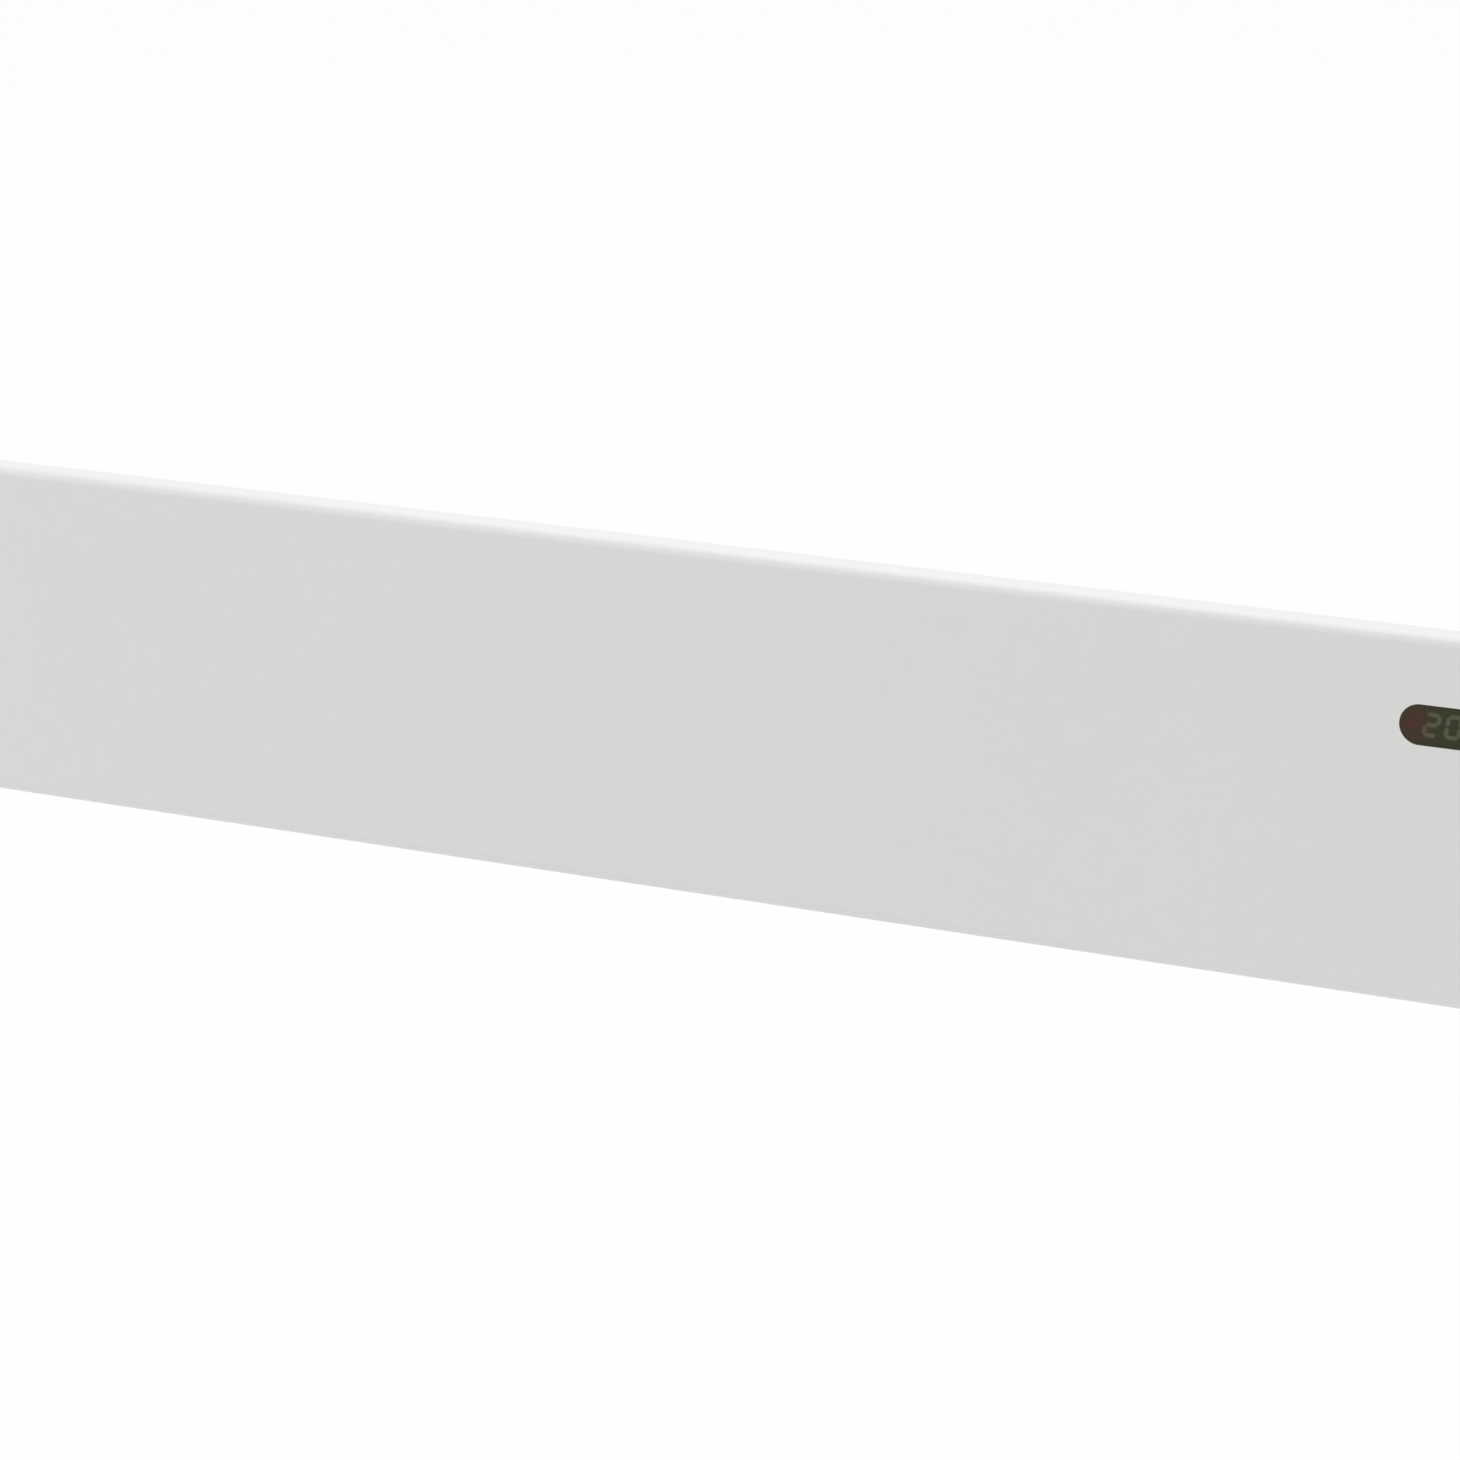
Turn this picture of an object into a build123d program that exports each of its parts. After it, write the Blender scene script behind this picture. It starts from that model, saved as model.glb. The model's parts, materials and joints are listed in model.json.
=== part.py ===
from build123d import *
from math import cos, pi, radians, sin, tan
import os

# Low wall panel convector heater.
# X runs along the heater, the front faces -Y, Z is up.
# The origin lies on the wall, at the centre of the wall bracket's four screw holes,
# level with the middle of the front panel. "Depth" is the distance from the wall.

os.makedirs("parts", exist_ok=True)

# ---------------------------------------------------------------- driving sizes (mm)
# Overall
panel_length = 1200.0
panel_height = 220.0
front_depth = 85.0
wall_gap = 20.0

# Front panel
tray_depth = 14.0
panel_sheet = 1.2
panel_edge_radius = 7.0
panel_corner_radius = 8.0
tray_lip = 14.0
tray_end_lip = 26.0

# Casing
casing_sheet = 1.0
casing_bend = 1.8
casing_end_inset = 20.0
casing_top_inset = 22.0
casing_bottom_inset = 18.0
casing_top_flange = 14.0
lip_margin = 4.0
lip_screw_inset = 5.0
grille_gap = 0.2
shield_sheet = 0.8
shield_margin = 2.0
cap_wall = 2.5
cap_rib = 2.2
cap_rib_length = 7.0
cap_rib_end_gap = 3.0
cap_edge = 1.2
ear_reach = 13.0
ear_height = 16.0
ear_inset = 40.0

# Air slots
slot_width = 4.0
slot_length = 30.0
slot_pitch = 9.0
air_depth = 49.0
chamber_left_margin = 60.0
bay_length = 152.0

# Wall bracket, its hooks and its lower tabs
bracket_sheet = 1.5
bracket_length = 600.0
bracket_upright = 42.0
bracket_corner = 3.0
hook_drop = 14.5
bracket_bottom_rise = 6.0
top_rail = 26.0
bottom_rail = 26.0
wall_hole_spacing_z = 110.0
wall_hole_radius = 3.2
hook_from_upright = 10.0
hook_width = 36.0
hook_lip_height = 10.5
hook_gap = 1.5
tab_height = 28.0
slot_side_gap = 2.0
lift_room = 1.5
bend_inside = 1.0
buffer_thickness = 1.5
buffer_width = 32.0
buffer_height = 6.5
buffer_rise = 1.0
buffer_corner = 1.5

# Quarter-turn locks
lock_rise = 11.0
lock_shaft_radius = 3.0
lock_bar_length = 16.0
lock_bar_width = 5.0
lock_bar_thickness = 3.0
lock_square = 4.2
lock_slot_gap = 1.2
lock_collar_radius = 6.0
lock_collar_thickness = 1.1
lock_collar_gap = 0.2
lock_bar_gap = 0.6
lever_reach = 34.0
lever_width = 8.0
lever_thickness = 4.0
lever_hub_radius = 6.0

# Heating element
element_depth = 45.0
element_rise = 52.0
rod_radius = 4.0
rod_spacing = 32.0
fin_left_gap = 6.0
fin_right_gap = 14.0
fin_wall = 2.0
fin_hub_wall = 2.4
fin_reach = 24.0
fin_lean = 32.0
fin_slit_width = 2.0
fin_slit_pitch = 20.0
fin_gap = 0.05
rod_stub = 12.0
rod_bend_gap = 14.0
bush_radius = 7.0
bush_flange_radius = 9.0
bush_flange = 2.0
bush_neck = 1.5
divider_sheet = 1.0
bracket_foot = 12.0
bracket_front_margin = 3.0
bracket_end_margin = 4.0
left_foot_spread = 22.0
mid_foot_spread = 30.0
divider_foot_margin = 30.0
cradle_side_gap = 1.5
cradle_top_gap = 3.0
cradle_rail = 6.0
cradle_front_rail = 5.0
left_bracket_margin = 144.0
terminal_radius = 2.0
terminal_length = 14.0

# Overheat cut-out
cutout_below_housing = 22.0
cutout_radius = 8.0
cutout_body = 6.0
cutout_flange = 1.0
cutout_flange_length = 31.0
cutout_rivet_offset = 12.0
cutout_cap_radius = 7.5
cutout_cap_reach = 1.5
cutout_tab_offset = 5.0
cutout_tab_length = 7.0
blade_width = 4.8
blade_thickness = 0.8

# Window with its display and buttons
window_length = 92.0
window_height = 24.0
window_right_margin = 60.0
window_drop = 53.0
window_gap = 0.2
lens_flange = 3.0
lens_flange_thickness = 1.6
lens_edge = 0.3
led_from_left = 7.5
led_radius = 4.0
led_dome = 2.5
led_rim = 0.4
led_rim_thickness = 1.0
digits_from_left = 24.6
digit_pitch = 12.7
digit_height = 14.2
digit_width = 7.4
digit_slant = 8.0
segment_width = 2.0
segment_thickness = 0.3
segment_end_gap = 0.9
display_length = 25.2
display_height = 19.0
display_gap = 0.5
display_edge = 0.4
first_button_from_left = 48.0
button_pitch = 16.0
button_radius = 6.0
button_edge = 0.5
button_gap = 0.3
button_proud = 0.9
button_travel = 0.5
button_flange = 1.25
button_flange_thickness = 1.0
button_stem_radius = 2.0

# Control unit
housing_length = 110.0
housing_height = 42.0
housing_wall = 2.0
housing_corner = 3.0
cavity_corner = 1.0
housing_back = 48.0
board_thickness = 1.6
board_front = 70.0
board_gap = 0.5
board_post_radius = 4.0
board_post_overlap = 0.5
board_screw_radius = 1.25
board_screw_length = 7.0
board_screw_hole = 8.0
board_screw_head_radius = 2.2
board_screw_head_height = 1.4
switch_side = 6.0
switch_body_height = 3.5
plunger_radius = 1.7
plunger_reach = 1.5
press_clearance = 0.1
stud_radius = 1.5
stud_length = 9.0
stud_nut_radius = 2.8
stud_nut_height = 2.4
ear_radius = 5.0
cover_rim = 1.25
cover_rim_height = 2.0
vent_length = 9.0
vent_width = 2.0
vent_pitch = 6.0
vent_row_pitch = 14.0
vents_in_row = 9
window_in_shield_gap = 3.0

# Parts on the board
power_row_rise = 2.5
component_edge = 0.8
relay_from_centre = 33.0
relay_length = 19.0
relay_height = 15.5
relay_depth = 14.5
transformer_from_centre = 8.0
transformer_length = 20.0
transformer_height = 18.0
transformer_depth = 13.0
transformer_flange = 2.0
coil_end_gap = 2.5
coil_side_gap = 1.5
capacitor_from_centre = -14.0
capacitor_radius = 5.0
capacitor_height = 16.0
connector_height = 8.0
connector_depth = 9.0
connector_floor_gap = 2.5
clamp_radius = 1.8
clamp_recess = 1.0

# Rocker switch in the right end cap
rocker_depth = 45.0
rocker_rise = 47.0
rocker_half = 7.0
rocker_half_width = 5.0
rocker_swing = 18.0
rocker_hub_radius = 2.6
rocker_proud = 2.6
rocker_side_gap = 0.3
rocker_floor_gap = 0.8
rocker_end_gap = 0.9
rocker_back = 1.2
rocker_belly = 0.6
rocker_horn = 4.0
rocker_saddle = 2.6
rocker_pin_radius = 1.2
rocker_pin_reach = 1.0
rocker_pin_gap = 0.05
rocker_pin_end_gap = 0.2
switch_hole_height = 19.0
switch_hole_width = 13.0
switch_hole_gap = 0.1
switch_body_length = 16.0
switch_blade_offset = 5.0
switch_blade_length = 8.0
bezel_overlap = 1.2
bezel_thickness = 1.5
bezel_corner = 1.5
bezel_edge = 0.5

# Cable inlet, sensor and earth
gland_from_end = 40.0
gland_depth = 45.0
gland_bore_radius = 4.2
gland_body_radius = 8.0
gland_flange_radius = 11.0
gland_flange = 4.0
gland_inside = 14.0
gland_edge = 1.5
gland_nut_radius = 12.0
gland_nut_thickness = 4.0
sensor_from_divider = 42.0
sensor_depth = 52.0
sensor_radius = 2.5
sensor_length = 16.0
sensor_proud = 12.0
sensor_tip_rounding = 2.0
sensor_holder_wall = 1.5
sensor_holder_proud = 10.0
sensor_holder_flange = 2.0
sensor_holder_flange_thickness = 1.5
earth_from_divider = 24.0
earth_rise = 20.0
earth_stud_radius = 2.0
earth_stud_length = 12.0
earth_washer_radius = 4.5
earth_washer_thickness = 1.0
earth_nut_radius = 4.0
earth_nut_height = 3.2
block_from_divider = 77.0
block_rise = 72.0
block_length = 30.0
block_height = 20.0
block_thickness = 18.0
block_corner = 1.0
block_pitch = 10.0
block_ways = 3
block_screw_hole_radius = 2.6
block_screw_hole_depth = 5.0
block_entry_gap = 0.5
block_entry_depth = 3.0

# Fasteners
screw_radius = 1.45
screw_gap = 0.05
screw_clearance = 0.35
screw_head_radius = 3.2
screw_head_height = 2.0
screw_run_out = 3.0
flange_screw_shift = 1.0
head_rounding = 0.6
lip_screw_end_margin = 105.0
lip_screws = 6
rivet_radius = 1.6
rivet_head_radius = 3.0
rivet_head_height = 0.9

# Leads
lead_radius = 1.2
sensor_lead_radius = 0.8
lead_bend = 5.0
lead_port_pitch = 11.0
lead_port_radius = 2.5
lead_port_shift = 5.5
lead_ports_in_row = 5

# ---------------------------------------------------------------- derived places
half_length = panel_length / 2
half_height = panel_height / 2
panel_inside = front_depth - panel_sheet
tray_back = front_depth - tray_depth
shield_back = tray_back - shield_sheet
lip_back = shield_back - casing_sheet
casing_half = half_length - casing_end_inset
casing_inside = wall_gap + casing_sheet
casing_top = half_height - casing_top_inset
casing_bottom = casing_bottom_inset - half_height
divider_x = casing_half - bay_length
lip_edge = half_height - lip_margin
lip_screw_row = half_height - lip_margin - lip_screw_inset
window_right = half_length - window_right_margin
window_left = window_right - window_length
window_centre = window_right - window_length / 2
window_rise = half_height - window_drop
lens_back = panel_inside - lens_flange_thickness
board_back = board_front - board_thickness
cap_outside = casing_half + cap_wall
hook_lip_back = casing_inside + hook_gap
bracket_top = casing_top - hook_drop
bracket_bottom = casing_bottom + bracket_bottom_rise
hook_offset = bracket_length / 2 - bracket_upright - hook_from_upright - hook_width / 2
wall_hole_spacing_x = bracket_length - bracket_upright
lock_height = bracket_bottom + lock_rise
tab_front = wall_gap - buffer_thickness
tab_back = tab_front - bracket_sheet
element_height = casing_bottom + element_rise
left_bracket_x = left_bracket_margin - casing_half
fin_left = left_bracket_x + fin_left_gap
fin_right = divider_x - fin_right_gap
fin_slits = int((fin_right - fin_left) / fin_slit_pitch) - 1
fin_slit_places = [fin_left + fin_slit_pitch * (i + 1) for i in range(fin_slits)]
mid_bracket_x = fin_slit_places[fin_slits // 2] + fin_slit_pitch / 2
rod_upper = element_height + rod_spacing / 2
rod_lower = element_height - rod_spacing / 2
cutout_height = window_rise - housing_height / 2 - cutout_below_housing
rocker_height = casing_bottom + rocker_rise
gland_x = casing_half - gland_from_end
sensor_x = divider_x + sensor_from_divider
earth_x = divider_x + earth_from_divider
earth_height = casing_bottom + earth_rise
terminal_block_x = divider_x + block_from_divider
terminal_block_height = casing_bottom + block_rise
button_places = [window_left + first_button_from_left + i * button_pitch for i in range(3)]
grille_screw_depth = wall_gap + casing_top_flange / 2 + flange_screw_shift
lip_screw_pitch = 2 * (casing_half - lip_screw_end_margin) / (lip_screws - 1)
lip_screw_places = [(i - (lip_screws - 1) / 2) * lip_screw_pitch for i in range(lip_screws)]
ear_heights = (casing_bottom + ear_inset, casing_top - ear_inset)
sides = (-1, 1)


# ---------------------------------------------------------------- helpers
def at(depth, height):
    """A point of a side view, given as distance from the wall and height."""
    return (-depth, height)


def sheet_section(points, thickness, radii, side):
    """Side view of a folded sheet: one face follows the points, the sheet lies on one side."""
    with BuildSketch(Plane.XY) as section:
        with BuildLine():
            FilletPolyline(*points, radius=radii)
            offset(amount=thickness, side=side)
        make_face()
    return section.sketch_local


def screw(length, head_radius=screw_head_radius, head_height=screw_head_height, radius=screw_radius):
    """Cross-recess screw with its head's underside at z = 0 and its shank downwards."""
    with BuildPart() as body:
        with BuildSketch(Plane.XY):
            Circle(head_radius)
        extrude(amount=head_height)
        fillet(body.edges().sort_by(Axis.Z)[-1], head_height * head_rounding)
        with BuildSketch(Plane.XY):
            Circle(radius)
        extrude(amount=-length)
        chamfer(body.edges().sort_by(Axis.Z)[0], radius * 0.4)
        with BuildSketch(Plane.XY.offset(head_height)):
            Rectangle(head_radius, head_radius / 5)
            Rectangle(head_radius / 5, head_radius)
        extrude(amount=-head_height / 2, mode=Mode.SUBTRACT)
    return body.part


def rivet(grip):
    """Blind rivet through two sheets, its head's underside at z = 0."""
    with BuildPart() as body:
        with BuildSketch(Plane.XY):
            Circle(rivet_head_radius)
        extrude(amount=rivet_head_height)
        fillet(body.edges().sort_by(Axis.Z)[-1], rivet_head_height * head_rounding)
        with BuildSketch(Plane.XY):
            Circle(rivet_radius)
        extrude(amount=-grip)
    return body.part


def group_of(fastener, seats):
    """The same fastener at several seats."""
    with BuildPart() as group:
        with Locations(*seats):
            add(fastener)
    return group.part


def lead(points, radius, bend):
    """Insulated lead: straight runs joined by tangent arcs."""
    with BuildPart() as wire:
        with BuildLine() as route:
            FilletPolyline(*points, radius=bend)
        with BuildSketch(Plane(origin=route.line @ 0, z_dir=route.line % 0)):
            Circle(radius)
        sweep(path=route.line)
    length = sum(edge.length for edge in route.line.edges())
    print("lead of", round(length, 1), "mm, volume error", round(length * pi * radius**2 - wire.part.volume, 3))
    return wire.part


def save(part, name):
    part.label = name
    export_step(part, f"parts/{name}.step")


# ---------------------------------------------------------------- front panel
with BuildPart() as front_panel:
    with BuildSketch(Plane.XZ.offset(tray_back)):
        RectangleRounded(panel_length, panel_height, panel_corner_radius)
    extrude(amount=tray_depth)
    fillet(front_panel.faces().sort_by(Axis.Y)[0].edges(), panel_edge_radius)
    offset(amount=-panel_sheet, openings=front_panel.faces().sort_by(Axis.Y)[-1])
    with BuildSketch(Plane.XZ.offset(tray_back)):
        RectangleRounded(panel_length, panel_height, panel_corner_radius)
        Rectangle(panel_length - 2 * tray_end_lip, panel_height - 2 * tray_lip, mode=Mode.SUBTRACT)
    extrude(amount=panel_sheet)
    # pill-shaped window
    with BuildSketch(Plane.XZ.offset(panel_inside)):
        with Locations((window_centre, window_rise)):
            SlotOverall(window_length, window_height)
    extrude(amount=panel_sheet, mode=Mode.SUBTRACT)
    # tapped holes of the lips
    with BuildSketch(Plane.XZ.offset(tray_back)):
        with Locations(*[(x, s * lip_screw_row) for x in lip_screw_places for s in sides]):
            Circle(screw_radius + screw_gap)
    extrude(amount=panel_sheet, mode=Mode.SUBTRACT)
save(front_panel.part, "front_panel")

# Weld studs behind the panel, at both ends of the window: they carry the control unit.
stud_places = [(window_centre + s * (housing_length / 2 + ear_radius), window_rise) for s in sides]
with BuildPart() as panel_studs:
    with BuildSketch(Plane.XZ.offset(panel_inside)):
        with Locations(*stud_places):
            Circle(stud_radius)
    extrude(amount=-stud_length)
save(panel_studs.part, "panel_studs")

with BuildPart() as stud_nuts:
    nut_seat = panel_inside - housing_wall
    with BuildSketch(Plane.XZ.offset(nut_seat)):
        with Locations(*stud_places):
            RegularPolygon(stud_nut_radius, 6)
            Circle(stud_radius + screw_gap, mode=Mode.SUBTRACT)
    extrude(amount=-stud_nut_height)
save(stud_nuts.part, "stud_nuts")

# ---------------------------------------------------------------- heat shield
with BuildPart() as heat_shield:
    shield_half = casing_half - shield_margin
    with BuildSketch(Plane.XZ.offset(shield_back)):
        Rectangle(2 * shield_half, 2 * (lip_edge - shield_margin))
        with Locations((window_centre, window_rise)):
            Rectangle(
                housing_length + 2 * window_in_shield_gap,
                housing_height + 2 * window_in_shield_gap,
                mode=Mode.SUBTRACT,
            )
        with Locations(*[(x, s * lip_screw_row) for x in lip_screw_places for s in sides]):
            Circle(screw_radius + screw_clearance, mode=Mode.SUBTRACT)
    extrude(amount=shield_sheet)
save(heat_shield.part, "heat_shield")

# ---------------------------------------------------------------- rear casing
air_left = -casing_half + chamber_left_margin
air_right = divider_x - slot_pitch
air_slots = int((air_right - air_left) / slot_pitch)
air_centre = (air_left + air_right) / 2
hook_slot_low = bracket_top - bracket_sheet - hook_lip_height - lift_room
lock_slot_length = lock_bar_length + 2 * lock_slot_gap
lock_slot_width = lock_bar_width + 2 * lock_slot_gap

with BuildPart() as rear_casing:
    with BuildSketch(Plane.YZ.offset(-casing_half)):
        add(sheet_section(
            [
                at(wall_gap + casing_top_flange, casing_top),
                at(wall_gap, casing_top),
                at(wall_gap, casing_bottom),
                at(lip_back, casing_bottom),
                at(lip_back, -lip_edge),
            ],
            casing_sheet,
            casing_bend,
            Side.RIGHT,
        ))
    extrude(amount=2 * casing_half)
    # bent ears that take the end-cap screws
    for s in sides:
        with BuildSketch(Plane.YZ.offset(s * casing_half)):
            with Locations(*[at(wall_gap + ear_reach / 2, height) for height in ear_heights]):
                Rectangle(ear_reach, ear_height)
        extrude(amount=-s * casing_sheet)
        with BuildSketch(Plane.YZ.offset(s * casing_half)):
            with Locations(*[at(casing_inside + ear_reach / 2, height) for height in ear_heights]):
                Circle(screw_radius + screw_gap)
        extrude(amount=-s * casing_sheet, mode=Mode.SUBTRACT)
    # hook slots and lock slots in the back
    with BuildSketch(Plane.XZ.offset(wall_gap)):
        for s in sides:
            with Locations((s * hook_offset, (bracket_top + hook_slot_low) / 2)):
                Rectangle(hook_width + 2 * slot_side_gap, bracket_top - hook_slot_low)
            with Locations((s * hook_offset, lock_height)):
                SlotOverall(lock_slot_length, lock_slot_width)
    extrude(amount=casing_sheet, mode=Mode.SUBTRACT)
    # intake slots in the bottom
    with BuildSketch(Plane.XY.offset(casing_bottom)):
        with Locations((air_centre, -air_depth)):
            with GridLocations(slot_pitch, slot_pitch, air_slots, 1):
                SlotOverall(slot_length, slot_width, rotation=90)
        with Locations((gland_x, -gland_depth)):
            Circle(gland_body_radius + screw_gap)
        with Locations((sensor_x, -sensor_depth)):
            Circle(sensor_radius + sensor_holder_wall + screw_gap)
    extrude(amount=casing_sheet, mode=Mode.SUBTRACT)
    # clearance holes of the lower lip
    with BuildSketch(Plane.XZ.offset(lip_back)):
        with Locations(*[(x, -lip_screw_row) for x in lip_screw_places]):
            Circle(screw_radius + screw_clearance)
    extrude(amount=casing_sheet, mode=Mode.SUBTRACT)
    # tapped holes of the top flange
    with BuildSketch(Plane.XY.offset(casing_top - casing_sheet)):
        with Locations(*[(x, -grille_screw_depth) for x in lip_screw_places]):
            Circle(screw_radius + screw_gap)
    extrude(amount=casing_sheet, mode=Mode.SUBTRACT)

# ---------------------------------------------------------------- top grille
grille_rear = wall_gap + casing_bend + grille_gap
with BuildPart() as top_grille:
    with BuildSketch(Plane.YZ.offset(-casing_half)):
        add(sheet_section(
            [at(grille_rear, casing_top), at(shield_back, casing_top), at(shield_back, lip_edge)],
            casing_sheet,
            casing_bend,
            Side.RIGHT,
        ))
    extrude(amount=2 * casing_half)
    with BuildSketch(Plane.XY.offset(casing_top)):
        with Locations((air_centre, -air_depth)):
            with GridLocations(slot_pitch, slot_pitch, air_slots, 1):
                SlotOverall(slot_length, slot_width, rotation=90)
        with Locations(*[(x, -grille_screw_depth) for x in lip_screw_places]):
            Circle(screw_radius + screw_clearance)
    extrude(amount=casing_sheet, mode=Mode.SUBTRACT)
    with BuildSketch(Plane.XZ.offset(lip_back)):
        with Locations(*[(x, lip_screw_row) for x in lip_screw_places]):
            Circle(screw_radius + screw_clearance)
    extrude(amount=casing_sheet, mode=Mode.SUBTRACT)
save(top_grille.part, "top_grille")


# ---------------------------------------------------------------- end caps
def end_cap(s):
    """Moulded end of the casing on side s, with two ribs that reach into it."""
    cap_top = casing_top + casing_sheet
    with BuildPart() as cap:
        with BuildSketch(Plane.YZ.offset(s * casing_half)):
            with Locations(at((wall_gap + shield_back) / 2, (cap_top + casing_bottom) / 2)):
                RectangleRounded(shield_back - wall_gap, cap_top - casing_bottom, casing_bend)
        extrude(amount=s * cap_wall)
        outer = cap.faces().sort_by(Axis.X)[-1 if s > 0 else 0]
        fillet(outer.edges(), cap_edge)
        rib_start = wall_gap + casing_top_flange + cap_rib_end_gap
        rib_end = lip_back - cap_rib_end_gap
        rib_depth = (rib_start + rib_end) / 2
        upper_rib = casing_top - screw_clearance - cap_rib / 2
        lower_rib = casing_bottom + casing_sheet + screw_clearance + cap_rib / 2
        with BuildSketch(Plane.YZ.offset(s * casing_half)):
            with Locations(at(rib_depth, upper_rib), at(rib_depth, lower_rib)):
                Rectangle(rib_end - rib_start, cap_rib)
        extrude(amount=-s * cap_rib_length)
        with BuildSketch(Plane.YZ.offset(s * casing_half)):
            with Locations(*[at(casing_inside + ear_reach / 2, height) for height in ear_heights]):
                Circle(screw_radius + screw_clearance)
            if s > 0:
                with Locations(at(rocker_depth, rocker_height)):
                    Rectangle(switch_hole_width, switch_hole_height)
        extrude(amount=s * cap_wall, mode=Mode.SUBTRACT)
    return cap.part


save(end_cap(-1), "end_cap_left")
save(end_cap(1), "end_cap_right")

# ---------------------------------------------------------------- wall bracket
with BuildPart() as wall_bracket:
    bracket_height = bracket_top - bracket_bottom
    window_high = bracket_height - top_rail - bottom_rail
    with BuildSketch(Plane.XZ):
        with Locations((0, (bracket_top + bracket_bottom) / 2)):
            RectangleRounded(bracket_length, bracket_height, bracket_corner)
        with Locations((0, (bracket_top - top_rail + bracket_bottom + bottom_rail) / 2)):
            Rectangle(bracket_length - 2 * bracket_upright, window_high, mode=Mode.SUBTRACT)
        with GridLocations(wall_hole_spacing_x, wall_hole_spacing_z, 2, 2):
            Circle(wall_hole_radius, mode=Mode.SUBTRACT)
    extrude(amount=bracket_sheet)
    tab_shelf = bracket_bottom + bottom_rail
    hook_section = sheet_section(
        [
            at(0, bracket_top - top_rail / 2),
            at(0, bracket_top),
            at(hook_lip_back, bracket_top),
            at(hook_lip_back, bracket_top + hook_lip_height),
        ],
        bracket_sheet,
        [bend_inside + bracket_sheet, bend_inside],
        Side.LEFT,
    )
    tab_section = sheet_section(
        [
            at(bracket_sheet, tab_shelf - bottom_rail / 2),
            at(bracket_sheet, tab_shelf),
            at(tab_back, tab_shelf),
            at(tab_back, tab_shelf - tab_height),
        ],
        bracket_sheet,
        bend_inside,
        Side.RIGHT,
    )
    for s in sides:
        with BuildSketch(Plane.YZ.offset(s * hook_offset - hook_width / 2)):
            add(hook_section)
            add(tab_section)
        extrude(amount=hook_width)
    with BuildSketch(Plane.XZ.offset(tab_back)):
        with Locations(*[(s * hook_offset, lock_height) for s in sides]):
            Circle(lock_shaft_radius + 2 * screw_gap)
    extrude(amount=bracket_sheet, mode=Mode.SUBTRACT)
save(wall_bracket.part, "wall_bracket")

with BuildPart() as rubber_buffers:
    buffer_middle = tab_shelf - tab_height + buffer_rise + buffer_height / 2
    with BuildSketch(Plane.XZ.offset(tab_front)):
        with Locations(*[(s * hook_offset, buffer_middle) for s in sides]):
            RectangleRounded(buffer_width, buffer_height, buffer_corner)
    extrude(amount=buffer_thickness)
save(rubber_buffers.part, "rubber_buffers")


# ---------------------------------------------------------------- quarter-turn locks
collar_back = tab_back - lock_collar_gap - lock_collar_thickness
lever_back = collar_back - lever_thickness
bar_back = casing_inside + lock_bar_gap


def lock_bolt(s):
    """T-headed bolt through the lower tab on side s; its bar passes the slot of the casing."""
    with BuildPart() as bolt:
        with BuildSketch(Plane.XZ.offset(collar_back)):
            with Locations((s * hook_offset, lock_height)):
                Circle(lock_shaft_radius)
        extrude(amount=bar_back - collar_back)
        with BuildSketch(Plane.XZ.offset(collar_back)):
            with Locations((s * hook_offset, lock_height)):
                Circle(lock_collar_radius)
        extrude(amount=lock_collar_thickness)
        with BuildSketch(Plane.XZ.offset(bar_back)):
            with Locations((s * hook_offset, lock_height)):
                SlotOverall(lock_bar_length, lock_bar_width)
        extrude(amount=lock_bar_thickness)
        with BuildSketch(Plane.XZ.offset(lever_back)):
            with Locations((s * hook_offset, lock_height)):
                Rectangle(lock_square, lock_square)
        extrude(amount=lever_thickness)
    return bolt.part


def lock_lever(s):
    """Lever on the square end of the bolt; it points outwards when the lock is open."""
    with BuildPart() as lever:
        with BuildSketch(Plane.XZ.offset(lever_back)):
            with Locations((s * hook_offset, lock_height)):
                Circle(lever_hub_radius)
            with Locations((s * (hook_offset + lever_reach / 2), lock_height)):
                SlotOverall(lever_reach + lever_width, lever_width)
            with Locations((s * hook_offset, lock_height)):
                Rectangle(lock_square + 2 * screw_gap, lock_square + 2 * screw_gap, mode=Mode.SUBTRACT)
        extrude(amount=lever_thickness)
    return lever.part


for side_name, s in (("left", -1), ("right", 1)):
    save(lock_bolt(s), f"lock_bolt_{side_name}")
    save(lock_lever(s), f"lock_lever_{side_name}")

# ---------------------------------------------------------------- heating element
rod_end = divider_x + divider_sheet + rod_stub
bend_x = left_bracket_x - rod_bend_gap
with BuildPart() as heating_rod:
    with BuildLine() as hairpin:
        Line((rod_end, -element_depth, rod_upper), (bend_x, -element_depth, rod_upper))
        ThreePointArc(
            (bend_x, -element_depth, rod_upper),
            (bend_x - rod_spacing / 2, -element_depth, element_height),
            (bend_x, -element_depth, rod_lower),
        )
        Line((bend_x, -element_depth, rod_lower), (rod_end, -element_depth, rod_lower))
    with BuildSketch(Plane(origin=hairpin.line @ 0, z_dir=hairpin.line % 0)):
        Circle(rod_radius)
    sweep(path=hairpin.line)
save(heating_rod.part, "heating_rod")

with BuildPart() as rod_terminals:
    with BuildSketch(Plane.YZ.offset(rod_end)):
        with Locations(at(element_depth, rod_upper), at(element_depth, rod_lower)):
            Circle(terminal_radius)
    extrude(amount=terminal_length)
save(rod_terminals.part, "rod_terminals")

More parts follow.
